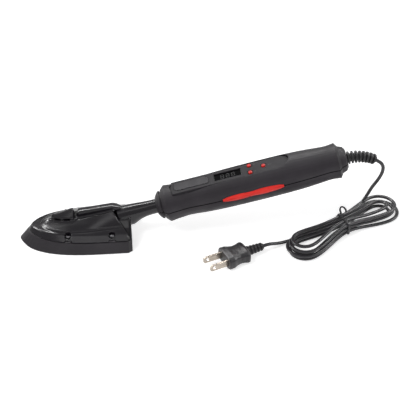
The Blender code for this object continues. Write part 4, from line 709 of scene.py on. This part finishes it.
def carve(item, other, operation="DIFFERENCE"):
    """Takes one solid out of another, or joins the two, and drops the second."""
    for solid in (item, other):
        build = bmesh.new()
        build.from_mesh(solid.data)
        bmesh.ops.triangulate(build, faces=build.faces)
        bmesh.ops.recalc_face_normals(build, faces=build.faces)
        build.to_mesh(solid.data)
        build.free()
    step = item.modifiers.new("carve", "BOOLEAN")
    step.operation = operation
    step.solver = "EXACT"
    step.object = other
    baked(item)
    bpy.data.objects.remove(other, do_unlink=True)


def box_solid(low, high):
    (x0, y0, z0), (x1, y1, z1) = low, high
    points = [(x, y, z) for z in (z0, z1) for x, y in ((x0, y0), (x1, y0), (x1, y1), (x0, y1))]
    faces = [(3, 2, 1, 0), (4, 5, 6, 7), (0, 1, 5, 4), (1, 2, 6, 5), (2, 3, 7, 6), (3, 0, 4, 7)]
    return plain_solid("box", points, faces)


def rod_solid(start, end, radius):
    points, faces = sweep([Vector(start), Vector(end)], round_profile(radius, ROD_STEPS))
    return plain_solid("rod", points, faces)


def ease_moulding(item, rounds):
    """Small even faces all over, their corners eased a little more by each round."""
    remesh = item.modifiers.new("even faces", "REMESH")
    remesh.mode = "VOXEL"
    remesh.voxel_size = MOULDING_GRAIN
    ease = item.modifiers.new("eased corners", "SMOOTH")
    ease.factor = EASE_FACTOR
    ease.iterations = rounds
    baked(item)
    item.data.shade_smooth()


def finish_moulding(item, node):
    """Gives a moulding its name, finish and place, and lets it stand in for the solid."""
    item.name = node + "_skin"
    item.data.materials.clear()
    item.data.materials.append(MATERIALS[NODE_FINISH[node]])
    item.location.x = NOSE_X
    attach(item, "iron")
    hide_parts(node)


def outline_share(t):
    """The shoe's width at a share of its length, of the whole width."""
    return (1 - (1 - t) ** OUTLINE_POWER) ** OUTLINE_ROOT


def boat_ring(front, half_width, low, rise, taper):
    """A ring of the shoe's plan outline, counted from the nose, its height easing up to the rear."""
    side = []
    for i in range(1, RING_POINTS + 1):
        t = (i / RING_POINTS) ** 2
        y = half_width * outline_share(t) * (1 - taper * t)
        y -= CORNER_CUT * max(0.0, t - CORNER_SHARE) / (1 - CORNER_SHARE)
        side.append((front + (SOLE_LENGTH - front) * t, y, low + rise * t * t * (3 - 2 * t)))
    return [(front, 0.0, low), *side, *[(x, -y, z) for x, y, z in reversed(side)]]


def skin_rings():
    """The cover's rings from foot to top, hollow between its edge line, its crease and its top."""
    rings = []
    for (first, second), hollow, steps in zip(zip(COVER_ROWS, COVER_ROWS[1:]), COVER_HOLLOWS, COVER_STEPS):
        for i in range(steps):
            u = i / steps
            front, half_width, _, rise, taper = (a + (b - a) * u for a, b in zip(first, second))
            height = first[2] + (second[2] - first[2]) * u**hollow
            rings.append(boat_ring(front, half_width, SOLE_HEIGHT + height, rise, taper))
    front, half_width, height, rise, taper = COVER_ROWS[-1]
    rings.append(boat_ring(front, half_width, SOLE_HEIGHT + height, rise, taper))
    return rings


def inner_rings():
    """The rings of the cover's hollow inside."""
    rings = []
    for front, half_width, height, rise, taper in INNER_ROWS:
        rings.append(boat_ring(front, half_width, SOLE_HEIGHT + height, rise, taper))
    return rings


def prow_section(share):
    """The wedge before the spine: a rounded ridge between two edges that overhang the vents."""
    x = PROW_FRONT_X + (PROW_REAR_X - PROW_FRONT_X) * share
    swell = math.sin(0.5 * math.pi * share) ** PROW_SWELL
    half = PROW_HALF_WIDTH * (PROW_FIRST_WIDTH + (1 - PROW_FIRST_WIDTH) * swell)
    edge = PROW_EDGE_Z[0] + (PROW_EDGE_Z[1] - PROW_EDGE_Z[0]) * share
    top = edge + PROW_RIDGE * (PROW_FIRST_RIDGE + (1 - PROW_FIRST_RIDGE) * share)
    ring = [(x, -half, edge - PROW_FOOT), (x, half, edge - PROW_FOOT), (x, half, edge)]
    for i in range(1, 2 * PROW_POINTS):
        y = half * (1 - i / PROW_POINTS)
        ring.append((x, y, top - (top - edge) * abs(y / half) ** PROW_CROWN))
    return [*ring, (x, -half, edge)]


def spine_section(x, half, top):
    """The raised spine cut across: upright sides and a rounded, flattish top."""
    ring = [(x, -half, SPINE_FOOT_Z), (x, half, SPINE_FOOT_Z)]
    for i in range(SPINE_STEPS + 1):
        angle = math.pi * i / SPINE_STEPS
        across = math.copysign(abs(math.cos(angle)) ** SPINE_SQUARENESS, math.cos(angle))
        ring.append((x, half * across, top - SPINE_ROUND * (1 - math.sin(angle) ** SPINE_SQUARENESS)))
    return ring


def rear_wedge():
    """What the cover's slanting rear edge leaves off."""
    foot, top, rear = SOLE_LENGTH - REAR_FOOT_INSET, SOLE_LENGTH - REAR_TOP_INSET, SOLE_LENGTH + 4 * OVERRUN
    low, heel, shoulder, high = REAR_EDGE_Z
    outline = [(foot, low), (foot, heel), (top, shoulder), (top, high), (rear, high), (rear, low)]
    points, faces = loft([[(x, y, z) for x, z in outline] for y in (-SHOE_SPAN, SHOE_SPAN)])
    return plain_solid("rear_wedge", points, faces)


def neck_rings(clearance=0.0):
    """The flared neck along the handle line, as the solid has it, in finer rings."""
    stations = [(place + HORN_FRONT, radius, drop) for place, radius, drop in HORN_STATIONS]
    stations[0] = (stations[0][0] - clearance, *stations[0][1:])
    stations.append((HORN_REAR, HORN_TAIL_RADIUS, 0.0))
    knots = [Vector(station) for station in stations]
    run = smooth_run([2 * knots[0] - knots[1], *knots, 2 * knots[-1] - knots[-2]], NECK_RING_STEP)
    rings = []
    for place, radius, drop in run:
        ring = []
        for i in range(NECK_RING_POINTS):
            angle = 2 * math.pi * i / NECK_RING_POINTS
            z = (radius + clearance) * math.sin(angle)
            if z < 0:
                z *= (radius + drop) / radius
            ring.append(HANDLE_LOCAL @ Vector((place, (radius + clearance) * math.cos(angle), z)))
        rings.append(ring)
    return rings


def make_prow():
    """The wedge before the spine, its end face slanting back to the cover and two vents through it."""
    sections = [prow_section(i / PROW_SECTIONS) for i in range(PROW_SECTIONS + 1)]
    sections.append([(x + PROW_END, PROW_END_WIDTH * y, z - PROW_DROP) for x, y, z in sections[-1]])
    prow = plain_solid("prow", *loft(sections))
    slope = (PROW_EDGE_Z[1] - PROW_EDGE_Z[0]) / (PROW_REAR_X - PROW_FRONT_X)
    low, high = VENT_DROPS
    for x in VENT_STARTS:
        outline = []
        for end, drop in ((x, low), (x + VENT_LENGTH, low), (x + VENT_LENGTH, high), (x, high)):
            outline.append((end, PROW_EDGE_Z[0] + slope * (end - PROW_FRONT_X) - drop))
        slot = [[(a, y, b) for a, b in outline] for y in (-VENT_REACH, VENT_REACH)]
        carve(prow, plain_solid("vent", *loft(slot)))
    return prow


def make_cover():
    """The shoe's cover, hollow, with its screw pockets, lug notches and room for the neck."""
    cover = plain_solid("cover", *loft(skin_rings()))
    carve(cover, rear_wedge())
    carve(cover, make_prow(), "UNION")
    spine = plain_solid("spine", *loft([spine_section(*station) for station in SPINE_STATIONS]))
    carve(cover, spine, "UNION")
    pockets = [(x, y) for x, across in SCREW_PLACES for y in (across, -across)]
    inside = plain_solid("inside", *loft(inner_rings()))
    for x, y in pockets:
        start, end = (x, y, POCKET_FLOOR - POCKET_WALL), (x, y, POCKET_TOP_Z)
        carve(inside, rod_solid(start, end, POCKET_RADIUS + POCKET_WALL))
    carve(cover, inside)
    (x0, z0), (x1, z1) = FLUTE_RUN
    for y in (FLUTE_Y, -FLUTE_Y):
        carve(cover, rod_solid((x0, y, z0), (x1, y, z1), FLUTE_RADIUS))
    for x, y in pockets:
        carve(cover, rod_solid((x, y, POCKET_FLOOR), (x, y, POCKET_TOP_Z), POCKET_RADIUS))
        carve(cover, rod_solid((x, y, POCKET_FLOOR - SHANK_DEPTH), (x, y, POCKET_TOP_Z), SHANK_RADIUS))
        inner, outer = (math.copysign(abs(y) + offset, y) for offset in LUG_ACROSS)
        low = (x - LUG_HALF_LENGTH, min(inner, outer), SOLE_HEIGHT - OVERRUN)
        high = (x + LUG_HALF_LENGTH, max(inner, outer), SOLE_HEIGHT + LUG_HEIGHT)
        carve(cover, box_solid(low, high))
    carve(cover, plain_solid("neck_room", *loft(neck_rings(GAP))))
    ease_moulding(cover, COVER_EASING)
    finish_moulding(cover, "shoe_cover")


def make_neck():
    """The neck with the stepped plate that closes the shoe behind, bored for the tube."""
    neck = plain_solid("neck", *loft(neck_rings()))
    low = SOLE_HEIGHT + GAP
    for front, rear, inset in BRACKET_PLATES:
        half = [(BRACKET_FOOT_Y - inset, low)]
        half.append((BRACKET_SHOULDER[0] - inset / 2, low + BRACKET_SHOULDER[1] - inset / 2))
        half.append((BRACKET_CROWN[0], low + BRACKET_CROWN[1] - inset / 2))
        section = half + [(-y, z) for y, z in reversed(half)]
        plate = [[(x, y, z) for y, z in section] for x in (front, rear)]
        carve(neck, plain_solid("plate", *loft(plate)), "UNION")
    carve(neck, box_solid((BRACKET_TRIM_X, -SHOE_SPAN, 0.0), (SOLE_LENGTH + GAP, SHOE_SPAN, low)))
    start = HANDLE_LOCAL @ Vector((HORN_FRONT - 2 * OVERRUN, 0, 0))
    end = HANDLE_LOCAL @ Vector((HORN_REAR + 2 * OVERRUN, 0, 0))
    carve(neck, rod_solid(start, end, NECK_BORE))
    ease_moulding(neck, NECK_EASING)
    finish_moulding(neck, "rear_bracket")


# The lead, from the strain relief to the plug
def relief_end():
    """Where the strain relief lets the lead out, and which way."""
    turn_radius = RELIEF_LENGTH / RELIEF_BEND
    x = CAP_END + GAP + turn_radius * math.sin(RELIEF_BEND)
    z = -turn_radius * (1 - math.cos(RELIEF_BEND))
    place = HANDLE_FRAME @ Vector((x, 0, z))
    way = HANDLE_FRAME.to_3x3() @ Vector((math.cos(RELIEF_BEND), 0, -math.sin(RELIEF_BEND)))
    return place, way


def layers_passed(turn):
    """How many layers of the hank lie under a turn's own one, easing from each to the next."""
    passed = 0.0
    for place in HANK_TURNS[1:-1]:
        share = min(1.0, max(0.0, (turn - place) / (2 * HANK_WIDENING) + 0.5))
        passed += share * share * (3 - 2 * share)
    return passed


def hank_local(turn, widening):
    """A point of a loop in the hank's frame, the turn counted from the near side of its far end."""
    quarter = 4 * (turn % 1.0)
    layer = len(HANK_TURNS) - 2 - layers_passed(turn)
    inner = 1 - widening / HANK_WIDE
    far = HANK_FAR_RADIUS - HANK_DRAWN_IN * layer - HANK_CLOSED * inner
    near = HANK_NEAR_RADIUS
    if quarter < 1 or 2 <= quarter < 3:
        at_far = quarter < 1
        centre = HANK_END_AT if at_far else -HANK_END_AT
        radius = (far if at_far else near) + widening
        angle = math.pi * (quarter - 0.5) if at_far else math.pi * (quarter - 1.5)
        return centre + radius * math.cos(angle), radius * math.sin(angle)
    side = 1 if quarter < 2 else -1
    along = side * HANK_END_AT * (1 - 2 * (quarter % 1.0))
    blend = 0.5 + 0.5 * along / HANK_END_AT
    blend = blend * blend * (3 - 2 * blend)
    plain = near + (far - near) * blend
    drawn_in = (1 - (along / HANK_END_AT) ** 2) ** 2
    return along, side * (plain + widening - (plain - HANK_WAIST) * drawn_in)


def hank_widening(turn):
    """How far a turn runs outside the innermost one: each layer winds out or in."""
    wide = (HANK_TURNS[1] - HANK_TURNS[0]) * HANK_STEP
    for k, (start, end) in enumerate(zip(HANK_TURNS, HANK_TURNS[1:])):
        sign = 1 if k % 2 else -1
        if turn <= end:
            return wide + sign * (turn - start) * HANK_STEP
        wide += sign * (end - start) * HANK_STEP
    return wide


def hank_height(turn, along):
    """The height of a turn: its layer's own, and a rise where the strands crowd at the waist."""
    layers = len(HANK_TURNS) - 2 - layers_passed(turn)
    lift = HANK_WAIST_LIFT * math.exp(-((along / HANK_LIFT_LENGTH) ** 2))
    return CORD_RADIUS + CORD_LIFT + HANK_LAYER_STEP * layers + lift


def hank_world(along, across, height):
    """A place in the hank's frame, in the row frame."""
    x = HANK_CENTRE[0] + along * math.cos(HANK_TURN) - across * math.sin(HANK_TURN)
    y = HANK_CENTRE[1] + along * math.sin(HANK_TURN) + across * math.cos(HANK_TURN)
    return world_point((x, y, height))


def hank_points():
    first, last = HANK_TURNS[0], HANK_TURNS[-1]
    count = round((last - first) * HANK_LOOP_POINTS)
    points = []
    for i in range(count + 1):
        turn = first + (last - first) * i / count
        along, across = hank_local(turn, hank_widening(turn))
        points.append(hank_world(along, across, hank_height(turn, along)))
    return points


def cord_path():
    """One unbroken run: down from the handle, through the hank and on to the plug."""
    hank = hank_points()
    start, way = relief_end()
    start = start + way * GAP
    first = (hank[1] - hank[0]).normalized()
    last = (hank[-1] - hank[-2]).normalized()
    end = PLUG_WORLD @ Vector((PLUG_RELIEF_END + GAP, 0, 0))
    axis = PLUG_WORLD.to_3x3() @ Vector((1, 0, 0))
    lead = [start - way * CORD_DIAMETER, start, start + way * CORD_DIAMETER]
    lead += [world_point(p) for p in LEAD_ROUTE]
    lead += [hank[0] - first * 2 * CORD_DIAMETER, hank[0] - first * CORD_DIAMETER, hank[0], hank[1]]
    tail = [hank[-2], hank[-1], hank[-1] + last * CORD_DIAMETER]
    tail += [world_point(p) for p in TAIL_ROUTE]
    tail += [end + axis * 2 * CORD_DIAMETER, end + axis * CORD_DIAMETER, end, end - axis * CORD_DIAMETER]
    run = smooth_run(lead, LEAD_SPACING) + hank[1:-1] + smooth_run(tail, LEAD_SPACING)
    return relaxed(resampled(run, CORD_SPACING), EVENING_ROUNDS)


def make_cord():
    path = cord_path()
    points, faces = sweep(path, twin_profile(), upright=LEAD_UPRIGHT)
    cord = new_piece("mains_cord", points, faces, MATERIALS["cord"], angle=60)
    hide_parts("cord_lead", "cord_hank", "cord_tail")
    return cord, path


def outer_hull(points):
    """The corners of the tightest outline round some points of a plane, in turn."""
    points = sorted(points)
    halves = []
    for run in (points, points[::-1]):
        chain = []
        for p in run:
            while len(chain) > 1:
                (ax, ay), (bx, by) = chain[-2], chain[-1]
                if (bx - ax) * (p[1] - ay) - (by - ay) * (p[0] - ax) > 0:
                    break
                chain.pop()
            chain.append(p)
        halves += chain[:-1]
    return halves


def tie_outline(path):
    """Where the tie runs round the strands at the hank's waist, across and up."""
    reach = CORD_RADIUS + TIE_THICKNESS / 2 + CORD_LIFT
    around = []
    for point in path:
        x, y = point.x - NOSE_X - HANK_CENTRE[0], point.y - HANK_CENTRE[1]
        along = x * math.cos(HANK_TURN) + y * math.sin(HANK_TURN)
        across = y * math.cos(HANK_TURN) - x * math.sin(HANK_TURN)
        if abs(along) < TIE_SPAN and abs(across) < TIE_REACH:
            for i in range(SECTION_POINTS):
                angle = 2 * math.pi * i / SECTION_POINTS
                height = point.z + reach * math.sin(angle)
                around.append((across + reach * math.cos(angle), max(height, TIE_THICKNESS)))
    return outer_hull(around)


def make_tie(path):
    """A flat wire tie once round the hank's waist, its end curled up in an open ring."""
    hull = [Vector((0.0, *corner)) for corner in tie_outline(path)]
    start = max(range(len(hull)), key=lambda i: hull[i].y + hull[i].z)
    ring = hull[start:] + hull[:start]
    round_run = resampled([*ring, ring[0], ring[1]], TIE_SPACING)
    count = len(round_run)
    points = [(TIE_DRIFT * (i / count - 0.5), p.y, p.z) for i, p in enumerate(round_run)]
    _, start_across, start_height = points[-1]
    for i in range(1, TIE_CURL_STEPS + 1):
        angle = -math.pi / 2 + TIE_CURL_TURN * math.pi * i / TIE_CURL_STEPS
        along = TIE_DRIFT / 2 + TIE_DRIFT * i / TIE_CURL_STEPS
        across = start_across + TIE_CURL_RADIUS * math.cos(angle)
        points.append((along, across, start_height + TIE_CURL_RADIUS * (1 + math.sin(angle))))
    run = relaxed([hank_world(*place) for place in points], EVENING_ROUNDS)
    half, thin = TIE_WIDTH / 2, TIE_THICKNESS / 2
    profile = []
    for i in range(SECTION_POINTS):
        angle = 2 * math.pi * i / SECTION_POINTS
        wire = 0.5 + 0.5 * math.cos(angle) ** 2
        profile.append((half * math.cos(angle), thin * math.sin(angle) / wire))
    axis = hank_world(1, 0, 0) - hank_world(0, 0, 0)
    rings = []
    for before, here, after in zip([run[0], *run], run, [*run[1:], run[-1]]):
        way = (after - before).normalized()
        side = (axis - way * axis.dot(way)).normalized()
        normal = way.cross(side)
        rings.append([here + side * a + normal * b for a, b in profile])
    tie = new_piece("twist_tie", *loft(rings), MATERIALS["tie"], angle=60)
    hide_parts("wire_tie")
    return tie


# Display and panel marks, all generic
def thin_piece(name, outlines, base, material):
    """Flat shapes raised a little from a level of the handle's frame, their edges bevelled."""
    points, faces = [], []
    for outline in outlines:
        rings = []
        middle = sum((Vector((x, y)) for x, y in outline), Vector((0, 0))) / len(outline)
        shoulder, top = base + PRINT_SHOULDER * PRINT_THICKNESS, base + PRINT_THICKNESS
        for z, inset in ((base, 0.0), (shoulder, 0.0), (top, PRINT_INSET)):
            ring = []
            for x, y in outline:
                place = Vector((x, y)).lerp(middle, inset)
                ring.append(HANDLE_FRAME @ Vector((place.x, place.y, z)))
            rings.append(ring)
        more_points, more_faces = loft(rings)
        faces += [tuple(i + len(points) for i in face) for face in more_faces]
        points += more_points
    new_piece(name, points, faces, material, angle=30)


def segment(centre, size, lying):
    """One bar of a digit, pointed at both ends."""
    x, y = centre
    half, thick = size / 2, DIGIT_STROKE / 2
    shape = [(-half, 0), (thick - half, thick), (half - thick, thick), (half, 0)]
    shape += [(half - thick, -thick), (thick - half, -thick)]
    if lying:
        return [(x + a, y + b) for a, b in shape]
    return [(x - b, y + a) for a, b in shape]


def make_digits():
    """Three unlit figures of a plain segment display, read from the near side."""
    bars = []
    for place in DIGIT_PLACES:
        for side in (-0.5, 0.0, 0.5):
            bars.append(segment((place, side * DIGIT_HEIGHT), DIGIT_BAR * DIGIT_WIDTH, True))
        for end in (-0.5, 0.5):
            for side in (-0.25, 0.25):
                centre = (place + end * DIGIT_WIDTH, side * DIGIT_HEIGHT)
                bars.append(segment(centre, DIGIT_BAR / 2 * DIGIT_HEIGHT, False))
    thin_piece("display_digits", bars, LENS_TOP + PRINT_LIFT, MATERIALS["digits"])


def arc_band(centre, radius, start, sweep_angle):
    """Short pieces of a ring, for a mark that is an open circle."""
    bands = []
    for i in range(BAND_PIECES):
        a, b = (math.radians(start + sweep_angle * (i + k) / BAND_PIECES) for k in (0, BAND_OVERLAP))
        inner, outer = radius - MARK_STROKE / 2, radius + MARK_STROKE / 2
        corners = ((outer, a), (outer, b), (inner, b), (inner, a))
        bands.append([(centre[0] + r * math.cos(t), centre[1] + r * math.sin(t)) for r, t in corners])
    return bands


def make_marks():
    """Up and down arrows by the pair of buttons, and an open circle with a bar by the third."""
    shapes = []
    for tip in (1, -1):
        foot, point = tip * (ARROW_Y - ARROW_FOOT), tip * (ARROW_Y + ARROW_TIP)
        shapes.append([(MARK_X - ARROW_HALF_WIDTH, foot), (MARK_X + ARROW_HALF_WIDTH, foot), (MARK_X, point)])
    shapes += arc_band((POWER_MARK_X, 0.0), POWER_MARK_RADIUS, POWER_MARK_START, POWER_MARK_SWEEP)
    near, far = POWER_MARK_X - MARK_STROKE / 2, POWER_MARK_X + MARK_STROKE / 2
    low, high = POWER_BAR
    shapes.append([(near, low), (far, low), (far, high), (near, high)])
    thin_piece("panel_marks", shapes, PANEL_TOP + PRINT_LIFT, MATERIALS["ink"])


# Floor and light
def make_stage():
    """A white floor with a glow that only the camera and reflections see, so shadows stay faint."""
    mesh = bpy.data.meshes.new("floor")
    corners = [(x * FLOOR_HALF, y * FLOOR_HALF, 0) for x, y in ((-1, -1), (1, -1), (1, 1), (-1, 1))]
    mesh.from_pydata(corners, [], [(0, 1, 2, 3)])
    floor = bpy.data.objects.new("floor", mesh)
    bpy.context.scene.collection.objects.link(floor)
    floor.location.z = -FLOOR_DROP
    material = bpy.data.materials.new("floor_white")
    material.use_nodes = True
    nodes, links = material.node_tree.nodes, material.node_tree.links
    main = nodes["Principled BSDF"]
    main.inputs["Base Color"].default_value = (FLOOR_WHITE, FLOOR_WHITE, FLOOR_WHITE, 1.0)
    main.inputs["Roughness"].default_value = FLOOR_ROUGHNESS
    rays = nodes.new("ShaderNodeLightPath")
    seen = nodes.new("ShaderNodeMath")
    seen.operation = "MAXIMUM"
    links.new(rays.outputs["Is Camera Ray"], seen.inputs[0])
    links.new(rays.outputs["Is Glossy Ray"], seen.inputs[1])
    glow = nodes.new("ShaderNodeMath")
    glow.operation = "MULTIPLY"
    glow.inputs[1].default_value = FLOOR_GLOW
    links.new(seen.outputs["Value"], glow.inputs[0])
    main.inputs["Emission Color"].default_value = (1.0, 1.0, 1.0, 1.0)
    links.new(glow.outputs["Value"], main.inputs["Emission Strength"])
    mesh.materials.append(material)


def add_area(name, place, size, watts):
    data = bpy.data.lights.new(name, "AREA")
    data.shape = "RECTANGLE"
    data.size, data.size_y = size
    data.energy = watts
    lamp = bpy.data.objects.new(name, data)
    bpy.context.scene.collection.objects.link(lamp)
    lamp.location = Vector(place)
    lamp.rotation_euler = (Vector(LAMP_TARGET) - lamp.location).to_track_quat("-Z", "Y").to_euler()
    return lamp


def make_light():
    world = bpy.data.worlds.new("studio")
    bpy.context.scene.world = world
    world.use_nodes = True
    background = world.node_tree.nodes["Background"]
    background.inputs["Color"].default_value = (1.0, 1.0, 1.0, 1.0)
    background.inputs["Strength"].default_value = WORLD_LIGHT
    for lamp in LAMPS:
        add_area(*lamp).visible_glossy = False
    for lamp in GLINTS:
        add_area(*lamp).visible_diffuse = False


def main():
    make_camera()
    make_materials()
    dress_nodes()
    cord, path = make_cord()
    tie = make_tie(path)
    make_cover()
    make_neck()
    make_digits()
    make_marks()
    make_stage()
    make_light()
    bpy.context.scene.view_settings.view_transform = "Standard"


main()
